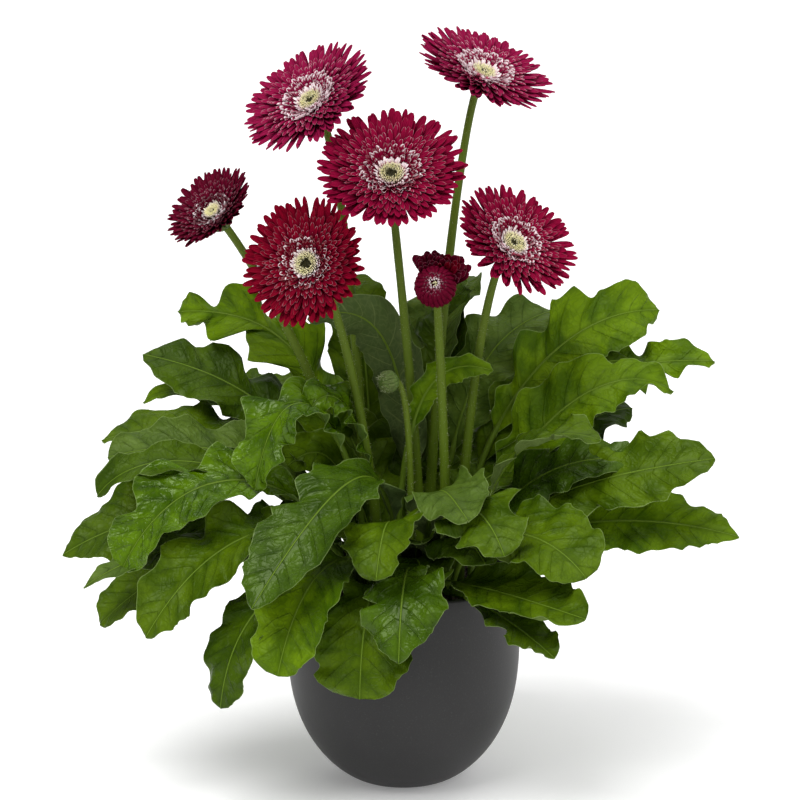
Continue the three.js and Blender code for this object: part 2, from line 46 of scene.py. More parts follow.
# ---------------------------------------------------------------- dimensions shared with the construction
GAP = 0.35
POT = dict(foot=28, belly=76, belly_height=102, height=136, rim=75.4, wall=4)
SOIL = dict(below=8, crown=2)
HOLE_DEPTH = 10
CROWN = (3, 3)
RINGS = (45, 34, 22)
PETIOLE = dict(half=2.5, thick=4.2)
BLADE = dict(thick=1.0, start=0.3, gutter=0.16, sweep=0.03, base_cut=0.5, cutting=1.1, deepest=0.88)
STEM = dict(foot=3.6, neck=2.8, lead=30)
HEAD = dict(core=8.5, top=2.2, back=4.2, calyx=10.5, calyx_depth=8)
SOIL_TOP = POT["height"] - SOIL["below"]

# Blade outlines: how the width rises and falls, how deep the small lobes are, and the cuts between the
# large lobes as (place, left depth, right depth).
OUTLINE_KEYS = ("rise", "fall", "jag", "cuts")
OUTLINES = {
    "lobed": (0.85, 0.58, 0.26, ((0.2, 0.5, 0.42), (0.42, 0.36, 0.4), (0.68, 0.2, 0.16))),
    "arrow": (0.75, 0.85, 0.2, ((0.18, 0.2, 0.3), (0.4, 0.1, 0.16), (0.68, 0.1, 0.06))),
    "spade": (0.85, 0.66, 0.2, ((0.26, 0.55, 0.25), (0.48, 0.14, 0.4), (0.74, 0.1, 0.08))),
    "oval": (0.65, 0.5, 0.14, ((0.22, 0.16, 0.2), (0.5, 0.08, 0.12), (0.78, 0.1, 0.05))),
    "round": (0.55, 0.42, 0.1, ((0.2, 0.1, 0.2), (0.5, 0.12, 0.06), (0.76, 0.06, 0.14))),
    "wavy": (0.7, 0.7, 0.2, ((0.25, 0.3, 0.2), (0.48, 0.16, 0.24), (0.72, 0.2, 0.12))),
    "fingered": (0.6, 0.45, 0.4, ((0.2, 0.5, 0.5), (0.46, 0.55, 0.45), (0.74, 0.4, 0.48))),
}

LEAF_KEYS = ("foot", "az", "lift", "bow", "tip", "wide", "roll", "wave", "outline", "tone")
# name: foot (ring, angle), heading, lift, bow (out, up), tip (out, up), width, roll, wave, outline, tone,
# and then what differs from the outline or the other leaves
LEAVES = {
    "front_left_long": ((1, -98), -134, 96, (30, 122), (132, 18), 58, -20, 3, "spade", "glossy",
        dict(start=0.22)),
    "front_upper": ((0, -97), -101, 58, (46, 86), (76, 34), 60, 12, 4, "lobed", "mid"),
    "front_mid": ((0, -86), -96, 34, (72, 52), (88, -16), 56, 5, 3, "spade", "glossy", dict(fall=0.85)),
    "front_low": ((0, -108), -104, 26, (62, 34), (68, -46), 66, -6, 4, "round", "mid"),
    "front_cupped": ((1, -72), -70, 96, (38, 80), (76, 68), 54, 10, 5, "oval", "pale"),
    "front_right_upper": ((0, -64), -62, 64, (48, 90), (84, 48), 58, 24, 3, "lobed", "mid"),
    "front_right_round": ((0, -52), -44, 52, (72, 70), (114, 34), 62, 26, 4, "round", "mid"),
    "front_right_low": ((0, -75), -44, 22, (50, 20), (134, 14), 46, 26, 3, "oval", "mid", dict(start=0.2)),
    "right_long": ((0, -18), -15, 58, (74, 80), (156, 96), 62, 50, 4, "spade", "mid",
        dict(start=0.12, cuts=((0.22, 0.75, 0.3), (0.47, 0.1, 0.42), (0.66, 0.32, 0.15)))),
    "right_low": ((0, -7), -10, 40, (92, 60), (170, 40), 52, 48, 3, "arrow", "bright"),
    "right_inner": ((0, -28), -22, 84, (40, 120), (88, 108), 46, 14, 4, "lobed", "mid"),
    "right_arch": ((0, 5), 4, 84, (80, 160), (128, 125), 52, 54, 7, "arrow", "bright", dict(twist=-24)),
    "right_high": ((1, 35), 9, 104, (90, 140), (176, 138), 58, 50, 6, "fingered", "bright",
        dict(start=0.56, sway=32, fall=0.85, cuts=((0.28, 0.5, 0.5), (0.58, 0.55, 0.65)))),
    "right_back_high": ((1, 16), 24, 100, (70, 178), (147, 168), 53, 58, 7, "lobed", "bright",
        dict(start=0.39)),
    "right_back_dark": ((1, 51), 40, 118, (41, 160), (100, 164), 55, 30, 6, "wavy", "pale", dict(start=0.38)),
    "right_back_mid": ((0, 19), 19, 66, (68, 106), (112, 106), 52, 30, 4, "lobed", "deep"),
    "left_bullate": ((0, -150), -165, 76, (102, 120), (148, 24), 58, -30, 5, "lobed", "bullate"),
    "left_droop": ((0, -140), -153, 54, (86, 82), (146, -10), 56, -14, 6, "wavy", "mid", dict(twist=-20)),
    "left_hanging": ((0, -129), -143, 24, (100, 44), (112, -54), 42, -12, 3, "oval", "deep"),
    "front_left_low": ((0, -118), -126, 40, (72, 60), (102, -27), 54, -8, 3, "round", "bright"),
    "left_low": ((0, -161), -169, 34, (98, 48), (158, -16), 54, -22, 4, "oval", "mid"),
    "left_flat": ((0, -173), 180, 42, (104, 72), (180, 20), 64, -40, 2, "arrow", "mid", dict(start=0.42)),
    "left_pale": ((1, -178), -177, 78, (86, 106), (160, 86), 46, -32, 3, "oval", "pale"),
    "left_broad": ((0, 175), 171, 80, (88, 115), (158, 89), 54, -26, 4, "wavy", "mid"),
    "left_dark": ((0, 163), 160, 92, (60, 131), (141, 140), 52, -36, 4, "spade", "deep"),
    "left_high": ((0, 148), 156, 134, (40, 178), (126, 166), 52, -50, 8, "fingered", "bright",
        dict(sweep=0.12, twist=-24, fall=0.6, cuts=((0.3, 0.6, 0.5), (0.56, 0.8, 0.6), (0.8, 0.45, 0.6)))),
    "left_curled": ((1, -140), -154, 118, (60, 181), (79, 75), 48, -14, 7, "lobed", "bullate",
        dict(start=0.46)),
    "left_small": ((1, -162), -170, 86, (22, 104), (46, 82), 34, -54, 6, "round", "bright", dict(start=0.4)),
    "centre_thin": ((2, -110), 4, 104, (14, 160), (62, 144), 21, 70, 2, "wavy", "bright",
        dict(start=0.58, sway=12)),
    "centre_arch": ((2, 80), -158, 120, (8, 196), (74, 176), 38, 60, 3, "oval", "deep"),
    "back_tall": ((0, 85), 48, 128, (13, 180), (60, 188), 56, 0, 3, "oval", "pale", dict(start=0.43)),
    "back_left_arch": ((0, 121), 108, 124, (22, 178), (58, 188), 50, 0, 4, "oval", "mid"),
    "back_left_mid": ((0, 138), 142, 80, (52, 124), (118, 108), 62, -8, 4, "lobed", "mid"),
    "back_right_mid": ((0, 46), 48, 60, (78, 90), (140, 60), 60, 8, 4, "lobed", "mid"),
    "back_mid": ((0, 94), 94, 66, (70, 104), (132, 72), 62, 0, 4, "spade", "mid"),
    "back_low_right": ((0, 70), 72, 30, (86, 40), (130, -30), 58, 4, 4, "wavy", "mid"),
    "back_low_left": ((0, 110), 118, 30, (88, 42), (136, -24), 58, -4, 4, "lobed", "mid"),
}

# Smaller leaves between the others, which only this script has. Their numbers say the same. They fill the
# crown and show as single tips.
SMALL_LEAVES = {
    "crown_back": ((2, 90), 90, 60, (12, 66), (30, 104), 66, 0, 5, "lobed", "deep", dict(start=0.16)),
    "crown_back_left": ((2, 150), 132, 66, (16, 74), (44, 112), 62, -6, 5, "wavy", "mid", dict(start=0.16)),
    "crown_back_right": ((2, 30), 52, 58, (16, 62), (46, 92), 60, 6, 5, "spade", "mid", dict(start=0.16)),
    "crown_left": ((2, -160), 176, 60, (20, 78), (60, 92), 50, -20, 5, "lobed", "deep", dict(start=0.2)),
    "crown_right": ((2, -10), 20, 54, (22, 70), (60, 78), 50, 20, 5, "lobed", "deep", dict(start=0.2)),
    "crown_front": ((2, -80), -84, 24, (16, 40), (44, 44), 52, 6, 4, "wavy", "deep", dict(start=0.16)),
    "crown_front_right": ((2, -50), -40, 30, (20, 46), (56, 50), 54, 20, 4, "lobed", "mid", dict(start=0.16)),
    "crown_front_left": ((2, -130), -140, 30, (22, 50), (62, 50), 56, -14, 4, "lobed", "mid",
        dict(start=0.16)),
    "left_tip": ((0, 140), 165, 96, (110, 138), (147, 106), 24, -40, 3, "wavy", "bright"),
    "left_hook": ((0, -165), -172, 70, (120, 118), (157, 66), 30, -26, 3, "oval", "deep"),
    "left_flat_tip": ((0, -150), -166, 34, (110, 58), (172, 14), 32, -30, 2, "arrow", "pale"),
    "left_curl": ((2, -140), -150, 110, (34, 150), (52, 124), 34, -30, 6, "round", "bullate",
        dict(start=0.5)),
    "front_right_tip": ((0, -66), -52, 14, (60, 10), (116, -12), 34, 16, 2, "spade", "mid"),
    "right_gloss": ((0, -22), -8, 66, (60, 100), (112, 88), 40, 40, 4, "wavy", "glossy", dict(start=0.2)),
    "left_low_fill": ((1, -150), -150, 40, (56, 66), (92, 44), 46, -16, 4, "wavy", "deep"),
    "back_top": ((1, 70), 62, 120, (20, 160), (46, 192), 44, 0, 4, "lobed", "deep", dict(start=0.5)),
    "right_under": ((1, 28), 15, 96, (60, 146), (122, 138), 46, 46, 4, "wavy", "mid", dict(start=0.36)),
    "back_fill_right": ((1, 45), 58, 56, (34, 78), (84, 78), 54, 8, 4, "lobed", "mid", dict(start=0.18)),
    "back_fill_left": ((1, 128), 124, 60, (36, 82), (88, 76), 54, -8, 4, "wavy", "mid", dict(start=0.18)),
    "back_fill_low": ((1, 92), 90, 36, (40, 50), (92, 30), 56, 0, 4, "lobed", "deep", dict(start=0.2)),
    "back_fill_side": ((1, 10), 30, 44, (38, 60), (92, 44), 52, 10, 4, "wavy", "mid", dict(start=0.2)),
    "front_gap": ((1, -60), -62, 40, (30, 60), (66, 36), 58, 14, 4, "lobed", "deep", dict(start=0.18)),
    "front_gap_low": ((1, -88), -80, 30, (28, 44), (60, 16), 52, 4, 4, "wavy", "deep", dict(start=0.18)),
}

# crest is the share of the middle petals that are white, hole how large the dark middle of the eye is and
# point how pointed the petals are.
BLOOMS = {
    "middle": dict(foot=(12, -7), at=(-7.6, -16, 272.5), face=(0, -0.7, 0.714), radius=47, cup=11,
                   crest=0.66, hole=0.33, point=0.2, red="crimson"),
    "upper_left": dict(foot=(-24, 18), at=(-59, 27.5, 313.5), face=(-0.475, -0.505, 0.718), radius=46.5,
                       cup=7.5, crest=0.92, hole=0.22, point=0.6, red="magenta"),
    "upper_right": dict(foot=(16, 20), at=(51, 31, 331), face=(0.34, -0.36, 0.87), radius=46, cup=7,
                        crest=0.9, hole=0.16, point=0.8, red="magenta"),
    "lower_right": dict(foot=(36, -1), at=(69.2, -17.5, 228.5), face=(0.44, -0.6, 0.67), radius=42, cup=9.5,
                        crest=0.75, hole=0.18, point=0.5, red="crimson"),
    "lower_left": dict(foot=(-15, -13), at=(-60, -51, 221.5), face=(-0.4, -0.85, 0.35), radius=41.5, cup=10.5,
                       crest=0.4, hole=0.33, point=0.3, red="scarlet"),
    "far_left": dict(foot=(-22, 4), at=(-120, -8, 247), face=(-0.5, -0.5, 0.7), radius=31, cup=18,
                     crest=0.3, hole=0.16, point=1.0, red="dark"),
}
OPENING = dict(foot=(28, -22), at=(20, -50, 206), face=(-0.05, -0.92, 0.38), radius=12.6, calyx=8.5,
               calyx_depth=6)
BUD = dict(foot=(5, -28), at=(-10, -24, 141), face=(-0.85, -0.5, -0.1), radius=6.5, lead=14)

LEAF_GRIDS = dict(large=(77, 19), puckered=(111, 25), small=(65, 15))  # rows and columns of a blade
FIRST_SMALL_LEAF = 60  # the number that the small leaves' own numbers start from
LOBE_LENGTH = 18  # millimetres of a blade to each small lobe
STEM_HAIRS, BUD_STEM_HAIRS, BUD_HAIRS = 560, 420, 220
HAIR_RADII = np.array([0.07, 0.05, 0.012])
FINER_NECK = 0.88  # how much thinner the top of a stem is here than in the construction
DISC_FLORETS = 180
GOLDEN_ANGLE = 137.508
SEEDS = dict(soil=11, leaf=500, head=1000, eye=2000, stem=3000, hairs=40, bud_hairs=60, opening=71, bud=91)
UP = np.array([0.0, 0.0, 1.0])

PETAL = dict(loose=1.0, base=0.42, thick=0.45, share=1.0)  # for layers of petals that don't say otherwise
PETAL_ROWS = (0, 0.22, 0.45, 0.66, 0.81, 0.91, 0.965, 1)  # places of the rows along a petal
# Layers of a double head from its back to its front, for a head with a radius of 1. Heights and
# widths are in millimetres for a radius of SIZE.
SIZE = 47.5
RAYS = [
    # reach, count, height at the tip, slope at the start, width
    (1.000, 28, -0.2, 0.00, 5.5),
    (0.980, 28, 0.7, 0.02, 5.2),
    (0.890, 30, 1.4, 0.05, 4.6),
    (0.840, 30, 2.0, 0.08, 4.3),
    (0.755, 31, 2.6, 0.14, 3.9),
    (0.705, 31, 3.0, 0.18, 3.5),
    (0.620, 32, 3.4, 0.26, 3.2),
    (0.570, 33, 3.6, 0.32, 2.9),
    (0.500, 33, 3.8, 0.40, 2.7),
]
CREST = [
    # reach, count, height at the tip, slope at the start, width, how white, whether on both faces
    (0.440, 29, 4.7, 0.10, 3.4, 0.9, 0),
    (0.418, 30, 5.4, 0.10, 3.3, 1.0, 0),
    (0.385, 29, 5.7, 0.15, 3.1, 1.0, 0),
    (0.348, 28, 5.1, 0.15, 2.8, 0.8, 0),
    (0.315, 27, 4.3, 0.2, 2.4, 0.5, 0),
    (0.280, 27, 3.7, 0.4, 2.1, 0.8, 0),
    (0.245, 31, 3.4, 0.7, 1.6, 1.0, 1),
    (0.215, 31, 3.1, 1.3, 1.4, 1.0, 1),
]
DIP = 1.5  # how far a head's middle lies below the top of its core in the construction
OPENING_FOLDS = [
    # count, angles where the petals start and end, width, paleness
    (24, -50, 24, 3.9, 0.0),
    (23, -42, 42, 3.7, 0.0),
    (21, -30, 56, 3.3, 0.1),
    (19, -12, 64, 2.8, 0.2),
    (16, 8, 70, 2.4, 0.4),
]
OPENING_FAN = [
    # reach, height, slope, width, first angle, last angle, count
    (1.92, 5.0, 0.1, 5.2, 24, 122, 10),
    (1.80, 7.0, 0.2, 5.0, 18, 116, 10),
    (1.64, 9.0, 0.35, 4.6, 22, 120, 10),
    (1.44, 10.5, 0.5, 4.2, 16, 124, 11),
    (1.24, 11.5, 0.7, 3.8, 10, 130, 11),
]


# ---------------------------------------------------------------- small helpers
def draw(seed):
    """A number from 0 to 1 that is always the same for the same seed, as in the construction."""
    s = math.sin(seed * 127.1 + 311.7) * 43758.5453
    return s - math.floor(s)


def mix(a, b, k):
    return a + (b - a) * k


def smooth(x, low, high):
    x = np.clip((x - low) / (high - low), 0, 1)
    return x * x * (3 - 2 * x)


def unit(v):
    return v / np.linalg.norm(v, axis=-1, keepdims=True)


def grid(*parts):
    """Arrays that fit together, side by side along a new last axis."""
    return np.stack(np.broadcast_arrays(*parts), -1)


def each_side(t, values):
    """The first value on the side of a blade where t is below 0, and the second on the other."""
    return np.where(t < 0, *values)


# ---------------------------------------------------------------- meshes
class Shape:
    """A growing mesh. marks are four numbers a point that the materials read, and plane is where the
    point lies on its leaf or petal laid flat."""

    def __init__(self):
        self.count = 0
        self.points, self.faces, self.slots, self.marks, self.plane = [], [], [], [], []

    def add(self, points, faces, slot, marks, plane=None):
        points = points.reshape(-1, 3)
        for part, number in zip(faces, slot if isinstance(slot, tuple) else [slot] * len(faces)):
            self.faces.append(part + self.count)
            self.slots.append(np.full(len(part), number))
        self.points.append(points)
        self.marks.append(np.broadcast_to(marks, (len(points), 4)).reshape(-1, 4))
        self.plane.append(points if plane is None else plane.reshape(-1, 3))
        self.count += len(points)

    def make(self, name, materials, slot, *nodes, sharp):
        """Makes the finished piece, in metres, standing for the given nodes."""
        mesh = bpy.data.meshes.new(name)
        loops = np.concatenate([f.ravel() for f in self.faces])
        sizes = np.concatenate([np.full(len(f), f.shape[1]) for f in self.faces])
        mesh.vertices.add(self.count)
        mesh.vertices.foreach_set("co", (np.concatenate(self.points) * MM).ravel())
        mesh.loops.add(len(loops))
        mesh.loops.foreach_set("vertex_index", loops)
        mesh.polygons.add(len(sizes))
        mesh.polygons.foreach_set("loop_start", np.concatenate([[0], np.cumsum(sizes)[:-1]]))
        mesh.polygons.foreach_set("material_index", np.concatenate(self.slots))
        mesh.update(calc_edges=True)
        for key, kind, field, values in (
            ("marks", "FLOAT_COLOR", "color", self.marks),
            ("plane", "FLOAT_VECTOR", "vector", self.plane),
        ):
            data = mesh.attributes.new(key, kind, "POINT").data
            data.foreach_set(field, np.concatenate(values).ravel())
        mesh.shade_smooth()
        mesh.set_sharp_from_angle(angle=math.radians(sharp))
        piece = bpy.data.objects.new(name, mesh)
        bpy.context.scene.collection.objects.link(piece)
        for material in materials:
            mesh.materials.append(material)
        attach(piece, "root")
        if nodes:
            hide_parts(*nodes)


def repeated(faces, size, count):
    """The same faces for each of count copies with size points."""
    start = (np.arange(count) * size)[:, None, None]
    return [(part[None] + start).reshape(-1, part.shape[1]) for part in faces]


def slab_faces(rows, cols):
    """The faces of a closed blade: its upper grid, its lower grid and the rim between them."""
    n = rows * cols
    g = np.arange(n).reshape(rows, cols)
    upper = np.stack([g[:-1, :-1], g[:-1, 1:], g[1:, 1:], g[1:, :-1]], -1).reshape(-1, 4)
    rim = np.concatenate([g[0, :-1], g[:-1, -1], g[-1, :0:-1], g[:0:-1, 0]])
    onward = np.roll(rim, -1)
    return [upper, upper[:, ::-1] + n, np.stack([rim, rim + n, onward + n, onward], -1)]


def slabs(shape, upper, lower, marks, plane, slot):
    """Closed blades from grids (blades, rows, cols, 3) of their upper and lower faces. Columns go from
    right to left as seen from above, looking from the first row to the last."""
    count, rows, cols = upper.shape[:3]
    points = np.stack([upper, lower], 1)
    marks, plane = (np.stack([a, a], 1).reshape(-1, a.shape[-1]) for a in (marks, plane))
    shape.add(points, repeated(slab_faces(rows, cols), 2 * rows * cols, count), slot, marks, plane)


def wall_faces(rows, sides):
    """The numbers of a tube's points, ring by ring, and the faces between the rings."""
    g = np.arange(rows * sides).reshape(rows, sides)
    after = np.roll(g, -1, axis=1)
    return g, after, np.stack([g[:-1], after[:-1], after[1:], g[1:]], -1).reshape(-1, 4)


def tubes(shape, paths, radii, sides, marks, slot=0):
    """Closed tubes along paths (tubes, rows, 3) with radii (tubes, rows)."""
    count, rows = paths.shape[:2]
    tangent = unit(np.gradient(paths, axis=1))
    aside = np.where(np.abs(tangent[:, :1, 2:]) > 0.9, [[[1.0, 0, 0]]], [[[0, 0, 1.0]]])
    first = unit(np.cross(tangent, np.broadcast_to(aside, tangent.shape)))
    second = np.cross(tangent, first)
    turn = np.linspace(0, 2 * np.pi, sides, endpoint=False)
    ring = first[:, :, None] * np.cos(turn)[:, None] + second[:, :, None] * np.sin(turn)[:, None]
    points = paths[:, :, None] + ring * radii[:, :, None, None]
    g, _, walls = wall_faces(rows, sides)
    faces = repeated([walls, g[:1, ::-1], g[-1:]], rows * sides, count)
    marks = np.broadcast_to(marks, (count, rows, 4))
    shape.add(points, faces, slot, np.repeat(marks.reshape(-1, 4), sides, 0))


def lathe(shape, profile, sides, marks, slot=0, move=None):
    """A body turned about +Z from a profile of (radius, height) that starts and ends on the axis."""
    profile = np.array(profile, float)
    turn = np.linspace(0, 2 * np.pi, sides, endpoint=False)
    inner = profile[1:-1]
    x, y = np.multiply.outer(inner[:, 0], np.cos(turn)), np.multiply.outer(inner[:, 0], np.sin(turn))
    rings = np.stack([x, y, np.repeat(inner[:, 1:], sides, 1)], -1).reshape(-1, 3)
    ends = np.array([[0, 0, profile[0, 1]], [0, 0, profile[-1, 1]]])
    points = np.concatenate([rings, ends])
    if move:
        points = move(points)
    g, after, walls = wall_faces(len(inner), sides)
    bottom = np.stack([np.full(sides, len(rings)), after[0], g[0]], -1)
    top = np.stack([np.full(sides, len(rings) + 1), g[-1], after[-1]], -1)
    shape.add(points, [walls, bottom, top], slot, marks)


def cubic(p, u):
    """Places and directions at u on the cubic curve with the handles p."""
    u = np.asarray(u)[..., None]
    w = 1 - u
    place = w**3 * p[0] + 3 * w**2 * u * p[1] + 3 * w * u**2 * p[2] + u**3 * p[3]
    direction = 3 * (w**2 * (p[1] - p[0]) + 2 * w * u * (p[2] - p[1]) + u**2 * (p[3] - p[2]))
    return place, unit(direction)


def on_curve(p, share):
    """Places and directions at shares of the curve's length, and that length."""
    u = np.linspace(0, 1, 201)
    steps = np.linalg.norm(np.diff(cubic(p, u)[0], axis=0), axis=1)
    length = np.concatenate([[0], np.cumsum(steps)])
    place, direction = cubic(p, np.interp(share, length / length[-1], u))
    return place, direction, length[-1]


# ---------------------------------------------------------------- material nodes
class Finish:
    """A Principled material with short ways to add nodes."""

    def __init__(self, name, **values):
        self.material = bpy.data.materials.new(name)
        self.material.use_nodes = True
        self.tree = self.material.node_tree
        self.shader = self.tree.nodes["Principled BSDF"]
        for socket, value in values.items():
            self.shader.inputs[socket.replace("_", " ")].default_value = value

    def node(self, kind, inputs=(), **settings):
        made = self.tree.nodes.new("ShaderNode" + kind)
        for key, value in settings.items():
            setattr(made, key, value)
        for key, value in dict(inputs).items():
            self.feed(made.inputs[key], value)
        return made

    def feed(self, socket, value):
        if isinstance(value, bpy.types.NodeSocket):
            self.tree.links.new(value, socket)
        else:
            socket.default_value = value

    def calc(self, operation, *values):
        return self.node("Math", enumerate(values), operation=operation).outputs[0]

    def times(self, first, second):
        return self.calc("MULTIPLY", first, second)

    def minus(self, first, second):
        return self.calc("SUBTRACT", first, second)

    def scaled(self, value, factor, more):
        return self.calc("MULTIPLY_ADD", value, factor, more)

    def vector(self, operation, first, second):
        return self.node("VectorMath", {0: first, 1: second}, operation=operation).outputs[0]

    def ramp(self, value, low, high, to_low=0.0, to_high=1.0):
        inputs = {"Value": value, "From Min": low, "From Max": high, "To Min": to_low, "To Max": to_high}
        return self.node("MapRange", inputs, interpolation_type="SMOOTHSTEP").outputs["Result"]

    def fade(self, value, low, high):
        """1 below low, 0 above high."""
        return self.ramp(value, low, high, 1.0, 0.0)

    def blend(self, amount, first, second):
        made = self.node("Mix", data_type="RGBA")
        for socket, value in ((made.inputs[0], amount), (made.inputs[6], first), (made.inputs[7], second)):
            self.feed(socket, value if isinstance(value, (bpy.types.NodeSocket, float)) else (*value, 1))
        return made.outputs[2]

    def tint(self, colour, where, strength, other):
        return self.blend(self.times(where, strength), colour, other)

    def marks(self):
        read = self.node("Attribute", attribute_name="marks")
        parts = self.node("SeparateColor", {"Color": read.outputs["Color"]}).outputs
        return parts[0], parts[1], parts[2], read.outputs["Alpha"]

    def plane(self, scale=(1, 1, 1)):
        read = self.node("Attribute", attribute_name="plane").outputs["Vector"]
        return self.vector("MULTIPLY", read, scale)

    def part(self, where, axis):
        return self.node("SeparateXYZ", {"Vector": where}).outputs[axis]

    def noise(self, where, scale, detail=2.0, roughness=0.5):
        inputs = {"Vector": where, "Scale": scale, "Detail": detail, "Roughness": roughness}
        return self.node("TexNoise", inputs).outputs[0]

    def cells(self, where, scale, feature):
        return self.node("TexVoronoi", {"Vector": where, "Scale": scale}, feature=feature).outputs["Distance"]

    def done(self, colour, height=None, depth=0.3, roughness=None):
        """Connects the colour, a relief of depth millimetres and the roughness."""
        self.feed(self.shader.inputs["Base Color"], colour)
        if height is not None:
            bump = self.node("Bump", {"Height": height, "Distance": depth * MM, "Strength": 1.0})
            self.feed(self.shader.inputs["Normal"], bump.outputs["Normal"])
        if roughness is not None:
            self.feed(self.shader.inputs["Roughness"], roughness)
        return self.material


def shade(colour, factor, more=0):
    return tuple(factor * c + more for c in colour)


# How each kind of leaf looks: its deep and light green, roughness, how puckered it is, and its gloss. bright
# and deep are the mid green painted lighter and darker, partly as leaves of a different tone and partly as
# painted light and shade for how much light each leaf gets.
TONE_KEYS = ("deep", "light", "rough", "pucker", "gloss")
TONES = {
    "mid": ((0.030, 0.064, 0.0008), (0.078, 0.136, 0.0020), 0.36, 0.3, 0.10),
    "glossy": ((0.020, 0.048, 0.0010), (0.050, 0.102, 0.0024), 0.27, 0.45, 0.17),
    "bright": ((0.038, 0.084, 0.0008), (0.116, 0.204, 0.0022), 0.38, 0.35, 0.09),
    "deep": ((0.020, 0.045, 0.0008), (0.050, 0.094, 0.0018), 0.36, 0.3, 0.10),
    "pale": ((0.042, 0.080, 0.0070), (0.092, 0.152, 0.0180), 0.40, 0.5, 0.12),
    "bullate": ((0.026, 0.066, 0.0006), (0.100, 0.196, 0.0014), 0.22, 1.05, 0.23),
}
TONES = {name: dict(zip(TONE_KEYS, values)) for name, values in TONES.items()}
VEIN_SPACING = 13.0  # millimetres between a leaf's side veins, on average
CELLS = 0.24  # cells of the leaf's fine net to the millimetre
UNDER_VEINS = (0.17, 0.22, 0.07)


def leaf_side(name, tone, under):
    """One face of a leaf. marks: vein phase, distance from midrib, distance from edge, share of length."""
    f = Finish(name, Specular_IOR_Level=0.05 if under else tone["gloss"], Specular_Tint=(0.85, 1.0, 0.6, 1))
    phase, from_rib, from_edge, along = f.marks()
    flat = f.plane()
    patches, small, swells = f.noise(flat, 0.06, 3.0), f.noise(flat, 0.5), f.noise(flat, 0.11)
    off = f.calc("ABSOLUTE", f.minus(phase, f.calc("ROUND", phase)))
    to_vein = f.times(off, VEIN_SPACING * 0.85)
    inside = f.times(f.ramp(from_edge, 1.0, 7.0), f.ramp(from_rib, 0.3, 1.2))
    furrow = f.times(f.fade(to_vein, 0.0, 0.9), inside)
    between = f.times(f.ramp(off, 0.05, 0.42), f.ramp(from_edge, 0.5, 4.0))
    wobble = f.node("TexNoise", {"Vector": flat, "Scale": 0.1}).outputs["Color"]
    bent = f.vector("ADD", flat, f.vector("MULTIPLY", wobble, (12, 12, 0)))
    net = f.fade(f.cells(bent, CELLS, "DISTANCE_TO_EDGE"), 0.0, 0.16)
    net = f.times(net, f.ramp(from_rib, 0.5, 4.0))
    domes = f.times(f.cells(bent, CELLS, "SMOOTH_F1"), -1.0)
    past_rib = f.minus(from_rib, f.scaled(along, -0.6, 0.9))
    rib = f.fade(past_rib, -0.3, 0.3)
    margin = f.fade(from_edge, 0.12, 0.5)
    deep, light = tone["deep"], tone["light"]
    if under:
        vein = f.times(f.fade(to_vein, 0.1, 0.6), inside)
        colour = f.blend(patches, shade(light, 0.85, 0.020), shade(light, 0.75, 0.038))
        colour = f.tint(f.tint(colour, vein, 0.5, UNDER_VEINS), net, 0.2, UNDER_VEINS)
        rib_colour = (0.21, 0.28, 0.07)
    else:
        own = f.scaled(f.calc("SINE", f.times(f.part(flat, "Z"), 1.7)), 0.5, 0.5)
        beside = f.fade(past_rib, 0.0, 2.8)
        colour = f.blend(f.ramp(patches, 0.36, 0.64), deep, light)
        colour = f.tint(colour, own, 0.35, shade(deep, 0.7))
        # Painted highlight: the swells between the side veins are painted lighter.
        colour = f.tint(colour, between, 0.15, shade(light, 1.15))
        colour = f.tint(colour, f.ramp(small, 0.45, 0.7), 0.15, light)
        # Painted sheen: the blade is painted lighter and greyer towards its tip.
        colour = f.blend(f.ramp(along, 0.5, 1.0, 0.0, 0.25), colour, shade(light, 1, 0.008))
        # Painted shade: the furrows of the side veins, the strip along the midrib and the fine net of small
        # veins are painted darker, standing in for the shade in these hollows.
        for where, strength, darkness in ((furrow, 0.28, 0.6), (beside, 0.35, 0.5), (net, 0.15, 0.55)):
            colour = f.tint(colour, where, strength, shade(deep, darkness))
        rib_colour = (0.112, 0.205, 0.012)
    colour = f.tint(colour, rib, 0.8, rib_colour)
    colour = f.tint(colour, margin, 0.5, (0.22, 0.30, 0.10))
    relief = f.scaled(swells, 0.6, f.times(domes, 0.3))
    relief = f.scaled(between, 0.22, relief)
    relief = f.scaled(small, 0.05, relief)
    relief = f.minus(relief, f.times(net, 0.09))
    relief = f.times(relief, f.ramp(from_rib, 1.0, 5.0))
    relief = f.minus(relief, f.times(furrow, 0.2))
    relief = f.minus(relief, f.times(rib, 0.3))
    if under:
        relief = f.times(relief, -1.0)
    rough = f.scaled(small, 0.14, 0.55 if under else tone["rough"] - 0.07)
    return f.done(colour, relief, 0.8 if under else 1.3 + 0.9 * tone["pucker"], rough)


